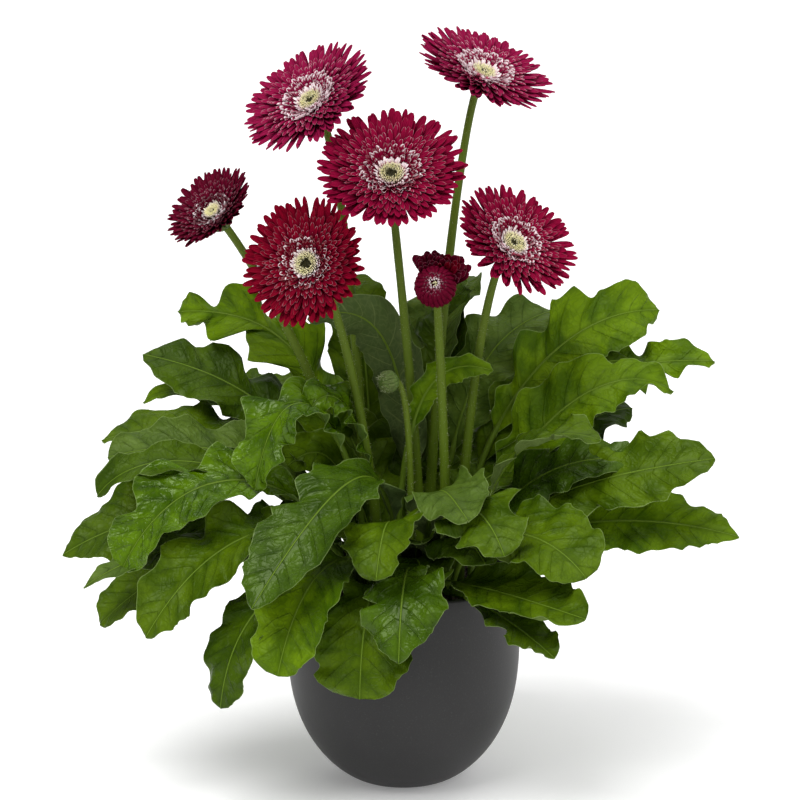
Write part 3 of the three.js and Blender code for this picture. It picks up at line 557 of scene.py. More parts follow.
def petal_finish(name, deep, light, pale, margin=0.36, first=0.86, last=0.97):
    """Velvety petals. marks: distance from edge, share of length, own number, how pale its margin is."""
    f = Finish(name, Specular_IOR_Level=0.03)
    from_edge, along, own, paleness = f.marks()
    streaks = f.noise(f.plane((1.4, 0.07, 1.0)), 1.0)
    ridges = f.calc("ABSOLUTE", f.calc("SINE", f.times(f.part(f.plane(), "X"), 2.6)))
    # Painted shade: each petal is painted deeper red towards its base, where the petals lie under one
    # another.
    colour = f.blend(f.ramp(along, 0.25, 1.0), deep, light)
    colour = f.tint(colour, f.ramp(streaks, 0.35, 0.7), 0.18, shade(deep, 0.6))
    colour = f.tint(colour, f.fade(ridges, 0.0, 0.45), 0.3, shade(deep, 0.7))
    colour = f.tint(colour, own, 0.3, shade(light, 0.65))
    # A pale band along the margin near the tip: on the short middle petals their own white tips; on the rays
    # partly their own paler tips and partly a painted highlight where light catches the edge.
    band = f.times(f.fade(from_edge, 0.3 * margin, margin), paleness)
    colour = f.blend(f.times(band, f.ramp(along, first, last)), colour, pale)
    return f.done(colour, f.scaled(ridges, 0.8, streaks), 0.3, f.scaled(streaks, 0.2, 0.5))


def back_finish(name, tip, base):
    """The pale backs of the short middle petals. marks: as for petals."""
    f = Finish(name, Roughness=0.6, Specular_IOR_Level=0.1)
    _, along, own, paleness = f.marks()
    grain = f.noise(f.plane((1.2, 0.3, 1.0)), 1.0)
    whiteness = f.times(f.ramp(along, 0.35, 0.75), f.scaled(own, 0.15, 0.85))
    return f.done(f.blend(f.times(whiteness, paleness), base, tip), grain, 0.15)


def floret_finish():
    """Disc florets. marks: size of the dark middle, share of length, own number, how far from the middle."""
    f = Finish("florets", Roughness=0.6, Specular_IOR_Level=0.2)
    hole, along, own, ring = f.marks()
    cream = f.blend(own, (0.95, 0.88, 0.62), (0.80, 0.77, 0.40))
    cream = f.blend(f.ramp(ring, 0.7, 1.0), cream, (0.95, 0.87, 0.74))
    dark = f.blend(own, (0.004, 0.003, 0.0015), (0.022, 0.018, 0.003))
    past_hole = f.minus(f.scaled(own, -0.2, ring), hole)
    colour = f.blend(f.ramp(past_hole, -0.05, 0.05), dark, cream)
    # Painted shade: each floret is painted dark olive towards its base, as the shade down among the florets.
    colour = f.blend(f.ramp(along, 0.0, 0.75, 0.75, 0.0), colour, (0.05, 0.045, 0.008))
    return f.done(colour, f.noise(f.plane(), 2.0), 0.2)


def green_finish(name, low, high, tip):
    """Stems, petioles and bracts. marks: unused, share of length, own number, how much is bract."""
    f = Finish(name, Roughness=0.55, Specular_IOR_Level=0.15)
    _, along, _, bract = f.marks()
    grain = f.noise(f.plane((1.6, 1.6, 0.12)), 1.0, 3.0)
    colour = f.blend(along, low, high)
    colour = f.tint(colour, f.ramp(grain, 0.35, 0.7), 0.3, shade(low, 0.7))
    colour = f.tint(colour, f.times(f.ramp(along, 0.55, 1.0), bract), 0.8, tip)
    return f.done(colour, grain, 0.3)


def hair_finish():
    f = Finish("hairs", Roughness=0.6)
    return f.done(f.blend(f.marks()[2], (0.30, 0.36, 0.16), (0.52, 0.55, 0.34)))


def pot_finish():
    f = Finish("charcoal_ceramic", Specular_IOR_Level=0.34)
    place = f.node("TexCoord").outputs["Object"]
    cloud = f.noise(place, 22.0, 4.0)
    grain = f.noise(place, 900.0, 3.0, 0.6)
    colour = f.blend(f.ramp(cloud, 0.3, 0.7), (0.0135, 0.013, 0.0132), (0.018, 0.0174, 0.0176))
    colour = f.blend(f.ramp(grain, 0.55, 0.75, 0.0, 0.3), colour, (0.060, 0.059, 0.058))
    return f.done(colour, grain, 0.05, f.scaled(cloud, 0.12, 0.42))


def soil_finish():
    f = Finish("potting_soil", Roughness=0.95)
    place = f.node("TexCoord").outputs["Object"]
    clods = f.noise(place, 160.0, 6.0, 0.7)
    fibres = f.noise(place, 700.0)
    colour = f.blend(f.ramp(clods, 0.35, 0.7), (0.010, 0.006, 0.004), (0.060, 0.036, 0.020))
    colour = f.blend(f.ramp(fibres, 0.68, 0.8, 0.0, 0.8), colour, (0.16, 0.10, 0.05))
    return f.done(colour, clods, 1.5)


LEAF_FINISHES = {
    tone: [leaf_side(f"leaf_{tone}_upper", spec, False), leaf_side(f"leaf_{tone}_under", spec, True)]
    for tone, spec in TONES.items()
}
RIB = green_finish("petioles", (0.085, 0.145, 0.008), (0.13, 0.21, 0.015), (0.14, 0.22, 0.03))
STEMS = green_finish("stems", (0.088, 0.152, 0.004), (0.102, 0.146, 0.014), (0.13, 0.07, 0.05))
BRACTS = green_finish("bracts", (0.07, 0.12, 0.02), (0.13, 0.20, 0.05), (0.10, 0.12, 0.04))
HAIRS = hair_finish()
FLORETS = floret_finish()
# The petals' deep and light red, which differ a little from bloom to bloom; the deep red is painted at the
# petals' bases as shade. Each red has three finishes: the rays, the faces of the crest's petals with their
# broad pale margins, and the backs of those petals.
REDS = {
    "crimson": ((0.092, 0.0004, 0.0100), (0.255, 0.0026, 0.034)),
    "magenta": ((0.112, 0.0008, 0.0180), (0.300, 0.0075, 0.060)),
    "scarlet": ((0.088, 0.0003, 0.0160), (0.205, 0.0008, 0.013)),
    "dark": ((0.050, 0.0005, 0.0055), (0.128, 0.0022, 0.019)),
}
PETALS = {
    red: [petal_finish(f"petals_{red}", deep, light, (0.92, 0.62, 0.70)),
          petal_finish(f"crest_{red}", deep, light, (1.0, 0.90, 0.93), margin=1.2, first=0.84, last=0.95),
          back_finish(f"backs_{red}", (1.0, 0.93, 0.95), shade(light, 1.6, 0.01))]
    for red, (deep, light) in REDS.items()
}


# ---------------------------------------------------------------- pot and soil
PLAIN = (0, 0, 0, 0)  # the marks of a piece whose material reads none


def pot_outline(steps):
    h = np.linspace(0, 1, steps + 1) ** 1.6
    r = POT["foot"] + (POT["belly"] - POT["foot"]) * (1 - (1 - h) ** 2.8) ** 0.72
    return np.stack([r, POT["belly_height"] * h], -1)


def make_pot():
    shape = Shape()
    wall, foot, belly, belly_height = POT["wall"], POT["foot"], POT["belly"], POT["belly_height"]
    outer = pot_outline(44)
    lip_r, lip_z = POT["rim"] - wall / 2, POT["height"] - 1
    lip = [(lip_r + wall / 2 * math.cos(a), lip_z + 2.0 * math.sin(a)) for a in np.linspace(0, math.pi, 13)]
    straight = [(belly - 0.1 * k, mix(belly_height, lip_z, k / 6)) for k in range(1, 6)]
    way = np.gradient(outer, axis=0)
    inner = outer + np.stack([-way[:, 1], way[:, 0]], -1) / np.linalg.norm(way, axis=1)[:, None] * wall
    inner = [(r, z) for r, z in inner[::-1] if wall + 1 < z < belly_height]
    under = [(0, 1.0), (foot - 6, 1.0), (foot - 4.5, 0.0), (foot - 0.8, 0.0), (foot - 0.1, 0.25)]
    curved = [(r, max(z, 0.6)) for r, z in outer[1:]]
    lathe(shape, under + curved + straight + lip + inner + [(0, wall)], 128, PLAIN)
    shape.make("pot_body", [pot_finish()], "pot", "pot", sharp=40)


def soil_height(r):
    return SOIL_TOP + SOIL["crown"] * (1 - (r / POT["belly"]) ** 2)


CLODS = 700
CLOD = np.array([[1, 0, 0], [0, 1, 0], [-1, 0, 0], [0, -1, 0], [0, 0, 0.8], [0, 0, -0.8]])
CLOD_FACES = np.array([
    [0, 1, 4], [1, 2, 4], [2, 3, 4], [3, 0, 4], [1, 0, 5], [2, 1, 5], [3, 2, 5], [0, 3, 5],
])


def make_soil():
    """Lumpy soil strewn with clods."""
    rng = np.random.default_rng(SEEDS["soil"])
    shape = Shape()
    edge = POT["rim"] - POT["wall"] - GAP
    waves = [(rng.uniform(0.05, 0.35, 2) * rng.choice([-1, 1], 2), rng.uniform(0, 6.3)) for _ in range(14)]

    def lumpy(points):
        r = np.hypot(points[:, 0], points[:, 1])
        top = points[:, 2] > SOIL_TOP - 2
        height = sum(np.sin(points[:, 0] * k[0] + points[:, 1] * k[1] + turn) for k, turn in waves) * 0.28
        points[:, 2] += np.where(top & (r < edge - 0.5), height, 0)
        return points

    side = [(0, 60), (60, 60), (edge - 1.2, SOIL_TOP - 30), (edge, SOIL_TOP - 4)]
    top = [(r, soil_height(r)) for r in np.linspace(edge, 2.5, 44)]
    lathe(shape, side + top + [(0, soil_height(0))], 110, PLAIN, move=lumpy)
    for _ in range(CLODS):
        r, turn = edge * 0.97 * math.sqrt(rng.random()), rng.uniform(0, 2 * math.pi)
        size = rng.uniform(0.6, 2.3)
        middle = np.array([r * math.cos(turn), r * math.sin(turn), soil_height(r) + size * 0.2])
        rough = rng.uniform(0.7, 1.3, (6, 3)) * size
        shape.add(middle + CLOD * rough, [CLOD_FACES], 0, PLAIN)
    shape.make("potting_soil", [soil_finish()], "soil", "soil", sharp=30)


# ---------------------------------------------------------------- leaves
def leaf_values(spec):
    """A leaf's numbers by name: the usual ones, its outline's and its own."""
    leaf = dict(start=BLADE["start"], sweep=BLADE["sweep"], sway=0, twist=0, **dict(zip(LEAF_KEYS, spec)))
    leaf.update(zip(OUTLINE_KEYS, OUTLINES[leaf["outline"]]))
    if len(spec) > len(LEAF_KEYS):
        leaf.update(spec[-1])
    return leaf


def leaf_frame(leaf):
    """The midrib of a leaf: place, side and upper normal at shares of its length."""
    heading = math.radians(leaf["az"])
    out = np.array([math.cos(heading), math.sin(heading), 0])
    left = np.array([-out[1], out[0], 0])
    ring, angle = leaf["foot"]
    x = CROWN[0] + RINGS[ring] * math.cos(math.radians(angle))
    y = CROWN[1] + RINGS[ring] * math.sin(math.radians(angle))
    foot = np.array([x, y, soil_height(math.hypot(x, y))])
    reach, height = leaf["tip"]
    curve = np.array([
        foot,
        foot + out * 0.03 * reach + UP * leaf["lift"],
        foot + out * leaf["bow"][0] + UP * leaf["bow"][1] + left * leaf["sway"],
        foot + out * reach + UP * height,
    ])
    length = on_curve(curve, 0.0)[2]
    start = leaf["start"]

    def at(share):
        place, tangent, _ = on_curve(curve, share)
        side = unit(left - tangent * (tangent @ left)[..., None])
        normal = np.cross(tangent, side)
        roll = leaf["roll"] * smooth(share, 0.12, start + 0.18)
        roll = np.radians(roll + leaf["twist"] * smooth(share, mix(start, 1, 0.4), 1))[..., None]
        c, s = np.cos(roll), np.sin(roll)
        return place, side * c + normal * s, normal * c - side * s

    return at, length


def hull_width(leaf, v):
    """Half the blade's width at v, 0 at its base and 1 at its tip, without its lobes."""
    rise, fall = leaf["rise"], leaf["fall"]
    peak = rise / (rise + fall)
    v = np.clip(v, 0, 1)
    return leaf["wide"] / 2 * v**rise * (1 - v) ** fall / (peak**rise * (1 - peak) ** fall)


def cut_at(leaf, v, t):
    """How near v is to the closest cut of a leaf, and how deep that cut is on the side of t."""
    base = BLADE["base_cut"]
    places, left, right = np.array([(0, base, base), *leaf["cuts"], (1, 0, 0)]).T
    after = np.clip(np.searchsorted(places, v), 1, len(places) - 1)
    between = (v - places[after - 1]) / (places[after] - places[after - 1])
    closest = np.where(between < 0.5, after - 1, after)
    near = (0.5 + 0.5 * np.cos(2 * np.pi * between)) ** 1.7
    deep = mix(right[closest], left[closest], (t + 1) / 2) * BLADE["cutting"]
    return near, np.minimum(deep, BLADE["deepest"])


def small_lobes(rng, v, t, depth, count):
    """How deep both edges of a blade are cut between small lobes that point to its tip, as a share."""
    out = 0.0
    for side in (-1, 1):
        ends = np.cumsum(rng.uniform(0.4, 1.6, count + 1))
        ends = (ends - ends[0]) / (ends[-1] - ends[0])
        deep = depth * rng.uniform(0.0, 1.4, count + 1)
        after = np.clip(np.searchsorted(ends, v), 1, count)
        between = np.clip((v - ends[after - 1]) / (ends[after] - ends[after - 1]), 0, 1)
        from_cut = np.where(between < 0.32, 1 - between / 0.32, (between - 0.32) / 0.68)
        out = out + np.where(side * t > 0, deep[after] * (1 - from_cut**1.5), 0)
    return out


def teeth(rng, v, t, count=12):
    """Small uneven points along both edges of a blade, in millimetres."""
    out = 0.0
    for side in (-1, 1):
        place = np.cumsum(rng.uniform(0.4, 1.6, count))
        for middle, size in zip(place / place[-1] * 0.96, rng.uniform(0.1, 1.3, count) ** 2):
            away = v - middle
            point = np.clip(1 - np.where(away < 0, -away / 0.035, away / 0.014), 0, 1)
            out = out + np.where(side * t > 0, size * point, 0)
    return out


def ruffles(rng, v, t):
    """Uneven waves along both edges of a blade, in millimetres."""
    waves = (1.7, rng.uniform(2.5, 4.5)), (1.1, rng.uniform(5, 8)), (0.5, rng.uniform(9, 13))
    return sum(size * np.sin(2 * np.pi * (pace * v + each_side(t, rng.random(2)))) for size, pace in waves)


def bumps(rng, x, y, size, count=9):
    """Soft uneven swellings of a blade laid flat, in millimetres."""
    out = 0.0
    for _ in range(count):
        turn, long = rng.uniform(0, 2 * np.pi), rng.uniform(8, 26)
        out = out + np.sin(2 * np.pi * (x * np.cos(turn) + y * np.sin(turn)) / long + rng.uniform(0, 6.3))
    return out * size / math.sqrt(count)


def add_rib(shape, leaf, at, index):
    """A leaf's petiole, which runs on as the midrib under its blade."""
    share = np.concatenate([[0.0], np.linspace(0.02, 0.985, 36)])
    path, _, normal = at(share)
    path[0] -= UP * (HOLE_DEPTH - 2)
    on_blade = np.clip((share - leaf["start"]) / (1 - leaf["start"]), 0, 1)
    radius = mix(PETIOLE["thick"] / 2, 0.3, on_blade**0.6)
    sink = mix(0.0, radius * 0.75, smooth(on_blade, 0.0, 0.12))
    path = path - normal * sink[:, None]
    tubes(shape, path[None], radius[None], 8, grid(0.0, on_blade, draw(index), 0.0)[None], slot=2)


def make_leaf(name, spec, index, node=True):
    """One leaf: a lobed, puckered and ruffled blade with its midrib and petiole. Along the blade v goes
    from its base to its tip, and across it t goes from -1 to 1."""
    leaf = leaf_values(spec)
    rows, cols = LEAF_GRIDS["small" if not node else "puckered" if leaf["tone"] == "bullate" else "large"]
    rng = np.random.default_rng(SEEDS["leaf"] + index)
    skew = 0.04 * (-1 if index % 2 == 0 else 1)
    at, length = leaf_frame(leaf)
    blade = length * (1 - leaf["start"])
    pucker = TONES[leaf["tone"]]["pucker"]

    v = np.linspace(0, 1, rows)[:, None]
    t = np.linspace(-1, 1, cols)[None]
    t = np.sign(t) * np.abs(t) ** 0.9
    edge = np.abs(t)
    on = v + (leaf["sweep"] + skew * t) * edge * 4 * v * (1 - v)
    place, side, normal = at(mix(leaf["start"], 1, on))
    near, deep = cut_at(leaf, v, t)
    jags = small_lobes(rng, v, t, leaf["jag"], max(3, round(blade / LOBE_LENGTH)))
    width = hull_width(leaf, on) * 1.05 * (1 - deep * near) * (1 - jags * smooth(v, 0.0, 0.1))
    width = width + teeth(rng, v, t) * smooth(v, 0.02, 0.12)
    h = np.maximum(width, mix(PETIOLE["half"] * 0.8, 0.35, v))
    from_rib = edge * h
    flat = grid(h * t, v * blade, index * 40.0)

    bend = 0.55 * edge + 0.45 * t * t
    wave = leaf["wave"] * (0.7 - 1.4 * near) * np.sqrt(1 - 0.6 * v)
    ruffle = ruffles(rng, v, t) * edge**2.2 * smooth(h, 2, 12)
    rolling = 0.5 + 0.5 * np.sin(2 * np.pi * (rng.uniform(1.0, 2.2) * v + each_side(t, rng.random(2))))
    curl = h * each_side(t, rng.uniform(-0.46, 0.36, 2)) * rolling * smooth(edge, 0.5, 1) ** 2

    veins = max(4, round(blade / VEIN_SPACING))
    phase = veins * (on - (0.75 + 0.25 * edge) * from_rib / blade) + np.where(t < 0, 0.45, 0)
    phase = phase + 0.2 * np.sin(phase * 2.3 + index + np.sign(t))
    cross = 0.75 + 0.25 * np.sin(from_rib / 2.4 + np.floor(phase) * 2.1)
    relief = 1.5 * pucker * (np.abs(np.sin(np.pi * phase)) ** 0.8 * cross - 0.5) * smooth(v, 1, 0.7)
    relief = relief + bumps(rng, flat[..., 0], flat[..., 1], 0.3 + 0.3 * pucker)
    relief = relief * smooth(from_rib, 0.5, 5) * (1 - edge**6) * smooth(h, 3, 12)

    lift = (h * BLADE["gutter"] + wave) * bend * smooth(v, -0.05, 0.14) + ruffle + curl + relief
    upper = place + side * (h * t)[..., None] + normal * lift[..., None]
    thick = BLADE["thick"] * (1 - 0.65 * edge**4) * (1 - 0.3 * v)
    lower = upper - normal * thick[..., None]
    marks = grid(phase, from_rib, (1 - edge) * h, v)
    shape = Shape()
    slabs(shape, upper[None], lower[None], marks[None], flat[None], slot=(0, 1, 1))
    add_rib(shape, leaf, at, index)
    nodes = [f"leaf_{name}"] if node else []
    shape.make(f"{name}_leaf", LEAF_FINISHES[leaf["tone"]] + [RIB], "leaf", *nodes, sharp=60)


# ---------------------------------------------------------------- flowers
def head_place(flower):
    """A function that puts points made about +Z at the origin on the flower's head."""
    face = Vector(flower["face"]).normalized()
    turn = np.array(Vector((0, 0, 1)).rotation_difference(face).to_matrix())
    middle = np.array([flower["at"][0], flower["at"][1], SOIL_TOP + flower["at"][2]])
    return lambda points: points @ turn.T + middle


def petal_layer(shape, place, rng, spec, rows, cols=5, slot=0):
    """One layer of petals round a head. spec holds the count, where the petals start (radius, height),
    where they end (radius, height), their slope at the start, their width, their paleness and more."""
    spec = PETAL | spec
    count, loose = spec["count"], spec["loose"]

    def one(amount):
        return rng.normal(0, amount, count)[:, None, None]

    pitch = 2 * np.pi / count
    drawn = rng.uniform(0, pitch)
    turn = (np.arange(count) * pitch + spec.get("turn", drawn))[:, None, None] + one(0.10 * loose) * pitch
    reach = spec["end"][0] * (0.985 + np.clip(one(0.03 * loose), -0.08, 0.05))
    (r0, z0), z1 = spec["start"], spec["end"][1] + one(0.7 * loose)
    v = np.interp(np.linspace(0, 1, rows), np.linspace(0, 1, len(PETAL_ROWS)), PETAL_ROWS)[None, :, None]
    t = np.linspace(-1, 1, cols)[None, None]
    run = reach - r0
    s0 = spec["slope"] + one(0.04)
    s1 = 2 * (z1 - z0) / run - s0
    slope = mix(s0, s1, v)
    r = r0 + run * v
    z = z0 + run * (s0 * v + (s1 - s0) * v * v / 2)
    steep = np.sqrt(1 + slope**2)
    nr, nz = -slope / steep, 1 / steep
    body = mix(spec["base"], 1, smooth(v, 0, 0.62))
    blunt = spec["blunt"]
    tip = np.clip(1 - np.clip((v - blunt) / (1 - blunt), 0, 1) ** 2.5, 0.04, 1) ** 0.4
    h = spec["width"] / 2 * (1 + one(0.09)) * body * tip
    roll = one(0.16 * loose) * v
    c, s = np.cos(roll), np.sin(roll)
    hollow = spec["hollow"] * h * (t * t - 0.4)
    bend = one(0.035 * loose) * run * v * v
    off = s * h * t + c * hollow
    pr, pz, py = r + nr * off, z + nz * off, bend + c * h * t - s * hollow
    thick = spec["thick"] * (1 - 0.55 * np.abs(t) ** 3) * (1 - 0.4 * v)

    def spun(a, b, height):
        across, along = a * np.cos(turn) - b * np.sin(turn), a * np.sin(turn) + b * np.cos(turn)
        return place(grid(across, along, height))

    upper = spun(pr, py, pz)
    lower = spun(pr - (nr * c) * thick, py + s * thick, pz - (nz * c) * thick)
    own = rng.random(count)[:, None, None]
    pale = spec["pale"] * np.where(own < spec["share"], 1.0, 0.12)
    marks = grid((1 - np.abs(t)) * h, v, own, pale)
    slabs(shape, upper, lower, marks, grid(h * t, run * v, own * 60), slot)


def make_head(name, bloom, index):
    """A double head: layers of rays, and a raised crest of short petals round the eye."""
    rng = np.random.default_rng(SEEDS["head"] + index)
    shape = Shape()
    place = head_place(bloom)
    radius, crest, cup = bloom["radius"], bloom["crest"], 0.02 * bloom["cup"]
    k = radius / SIZE
    core, back, top = HEAD["core"], HEAD["back"], HEAD["top"] - DIP
    body = [(0, -back), (core - 1, -back), (core, -back + 1), (core, -0.5), (core - 1, top), (0, top)]
    lathe(shape, body, 32, (3, 0.1, 0.5, 0), move=place)

    def layer(reach, count, height, slope, width, **more):
        end = (reach * radius, height * k + cup * (reach * radius - core))
        return dict(count=count, end=end, slope=slope + cup, width=width * mix(0.35, 1, k), **more)

    for i, row in enumerate(RAYS):
        q = i / (len(RAYS) - 1)
        petal_layer(shape, place, rng, layer(
            *row, start=(mix(core - 3, core - 2, q), mix(-back + 0.6, -0.4, q)),
            turn=(i % 2) * math.pi / row[1], pale=max(0, mix(-0.35, 0.85, q)) * mix(0.2, 1, crest),
            hollow=0.45, blunt=mix(0.8, 0.6, bloom["point"]), thick=0.42, base=0.55,
        ), rows=8 if i < 4 else 7)
    for reach, count, height, slope, width, white, both in CREST:
        height = mix(3.6, height, mix(0.3, 1, crest))
        petal_layer(shape, place, rng, layer(
            reach, count, height, slope, width, start=(core - 1.4, -0.4), pale=white,
            share=1.0 if both else crest, hollow=0.8, blunt=0.82, thick=0.35, base=0.6, loose=1.4,
        ), rows=7, cols=3, slot=2 if both else (1, 2, 2))
    shape.make(f"{name}_head", PETALS[bloom["red"]], "petals", f"bloom_{name}_petals", sharp=55)


def make_eye(name, bloom, index):
    """Disc florets in a spiral: a dark middle, a cream ring, whiter at its edge."""
    rng = np.random.default_rng(SEEDS["eye"] + index)
    shape = Shape()
    place = head_place(bloom)
    size = min(1, bloom["radius"] / 42) ** 1.3
    i = np.arange(DISC_FLORETS)
    share = np.sqrt((i + 0.5) / DISC_FLORETS)
    r = (HEAD["core"] - 1.0) * size * share
    turn = i * math.radians(GOLDEN_ANGLE)
    base_z = HEAD["top"] + GAP - DIP
    rise = mix(0.9, 2.8, smooth(share, 0.25, 0.5)) - 0.4 * smooth(share, 0.85, 1.0)
    rise = rise * (1 + rng.normal(0, 0.2, DISC_FLORETS))
    lean = mix(0.0, 0.45, share**2) + rng.normal(0, 0.12, DISC_FLORETS)
    rows = np.linspace(0, 1, 4)
    radial = r[:, None] + (lean * rise)[:, None] * rows**1.5
    turn = turn[:, None] + rng.normal(0, 0.03, DISC_FLORETS)[:, None] * rows
    path = np.stack([radial * np.cos(turn), radial * np.sin(turn), base_z + rise[:, None] * rows], -1)
    radius = 0.36 * np.array([0.8, 0.6, 1.1, 0.2]) * (1 + 0.2 * rng.random(DISC_FLORETS))[:, None]
    marks = grid(bloom["hole"], rows, rng.random(DISC_FLORETS)[:, None], share[:, None])
    tubes(shape, place(path), radius, 6, marks)
    # Painted shade: the disc under the florets takes the dark middle's colour all over, real in the middle
    # and a painted shade between the florets of the cream ring.
    edge = (HEAD["core"] - 0.5) * size
    disc = [(0, base_z), (edge, base_z), (edge - 0.5, base_z + 0.4), (0, base_z + 0.4)]
    lathe(shape, disc, 28, (1, 0.0, 0.0, 0.0), move=place)
    shape.make(f"{name}_florets", [FLORETS], "eye", f"bloom_{name}_eye", sharp=50)


def stem_curve(flower, end):
    face = unit(np.array(flower["face"], float))
    x, y = flower["foot"]
    low = np.array([x, y, soil_height(math.hypot(x, y))])
    head = np.array([flower["at"][0], flower["at"][1], SOIL_TOP + flower["at"][2]])
    top = head - face * end
    bend = top - face * flower.get("lead", STEM["lead"])
    rise = low + UP * 0.36 * (bend[2] - low[2]) + (bend - low) * 0.12
    return np.array([low, rise, bend, top])


def add_hairs(shape, paths, marks):
    """Fine hairs along paths (hairs, 3, 3), in the material slot of the hairs."""
    tubes(shape, paths, np.broadcast_to(HAIR_RADII, paths.shape[:2]), 3, marks, slot=1)


def stem_tube(shape, flower, foot, neck, end, hairs, seed, length=1.0):
    """A stem from the soil to a place behind the head, with short pale hairs all over it."""
    rng = np.random.default_rng(seed)
    curve = stem_curve(flower, end)
    share = np.linspace(0, 1, 61)
    path, _, _ = on_curve(curve, share)
    path[0] -= UP * (HOLE_DEPTH - 1)
    radius = mix(foot, neck, share) * (1 + 0.02 * np.sin(share * 40))
    tubes(shape, path[None], radius[None], 18, grid(0.0, share, draw(seed), 0.0)[None])
    spot = rng.random(hairs) ** 0.8
    middle, tangent, _ = on_curve(curve, spot)
    around = rng.uniform(0, 2 * np.pi, hairs)
    side = unit(np.cross(tangent, [1.0, 0.01, 0]))
    other = np.cross(tangent, side)
    out = side * np.cos(around)[:, None] + other * np.sin(around)[:, None]
    root = middle + out * (mix(foot, neck, spot) - 0.1)[:, None]
    grow = unit(out + tangent * rng.normal(0.1, 0.35, hairs)[:, None] + rng.normal(0, 0.2, (hairs, 3)))
    size = rng.uniform(0.6, 1.5, hairs)[:, None] * length
    paths = np.stack([root, root + grow * size * 0.55, root + grow * size + UP * size * 0.1], 1)
    add_hairs(shape, paths, grid(0.0, [0, 0.5, 1.0], rng.random(hairs)[:, None], 0.0))


def make_stem(name, node, flower, width, depth, index):
    """A hairy stem and the calyx under the head: a cone clad in pointed bracts."""
    rng = np.random.default_rng(SEEDS["stem"] + index)
    shape = Shape()
    place = head_place(flower)
    seat = -HEAD["back"] - GAP
    foot, neck, seed = STEM["foot"], STEM["neck"] * FINER_NECK, SEEDS["hairs"] + index
    stem_tube(shape, flower, foot, neck, depth + 1, STEM_HAIRS, seed)
    low_z = seat - depth - 1
    cone = [(0, low_z), (3.2, low_z), (width * 0.7, seat - depth * 0.5), (width * 0.86, seat - 0.8)]
    lathe(shape, cone + [(width * 0.8, seat), (0, seat)], 30, (0, 0.4, 0.5, 0), slot=2, move=place)
    for low, high, out in ((depth + 0.5, 0.5, 0.98), (depth + 0.2, 2.0, 0.9), (depth, 3.6, 0.78)):
        petal_layer(shape, place, rng, dict(
            count=17, start=(3.0, seat - low), end=(width * out, seat - high), slope=0.35, width=3.0,
            pale=1.0, base=0.75, blunt=0.35, hollow=-0.35, thick=0.6, loose=0.35,
        ), rows=6, slot=2)
    shape.make(f"{name}_stalk", [STEMS, HAIRS, BRACTS], "stem", node, sharp=55)


def folded_layer(shape, place, rng, ball, petals, slot=0, bulge=1.0, loose=1.0):
    """Petals or bracts folded over a ball (radius, height of its middle). petals are their count, the
    angles above the ball's equator where they start and end, their width and their paleness."""
    radius, middle = ball
    count, low, high, width, pale = petals

    def one(amount):
        return rng.normal(0, amount, count)[:, None, None]

    pitch = 2 * np.pi / count
    turn = (np.arange(count) * pitch + rng.uniform(0, pitch))[:, None, None] + one(0.06 * loose) * pitch
    v = (1 - (1 - np.linspace(0, 1, 10)) ** 1.3)[None, :, None]
    t = np.linspace(-1, 1, 5)[None, None]
    angle = mix(math.radians(low), math.radians(high) + one(0.05 * loose), v)
    tip = np.sqrt(np.clip(1 - np.clip((v - 0.55) / 0.45, 0, 1) ** 2.2, 0.01, 1))
    h = width / 2 * mix(0.6, 1, smooth(v, 0, 0.4)) * tip
    around_ball = radius * (1 + one(0.012))
    around = turn + h * t / np.maximum(around_ball * np.cos(angle), 2.2)
    out = around_ball + bulge * 0.35 * (1 - t * t) - 0.25

    def at(depth):
        q = (out - depth) * np.cos(angle)
        return place(grid(q * np.cos(around), q * np.sin(around), middle + (out - depth) * np.sin(angle)))

    own = rng.random(count)[:, None, None]
    marks = grid((1 - np.abs(t)) * h, v, own, pale)
    slabs(shape, at(0.0), at(0.5), marks, grid(h * t, radius * 2 * v, own * 60), slot)


def ball_profile(radius, middle, first, last):
    """Places (radius, height) round a ball, from one angle above its equator to another."""
    return [(radius * math.cos(a), middle + radius * math.sin(a)) for a in np.linspace(first, last, 14)]


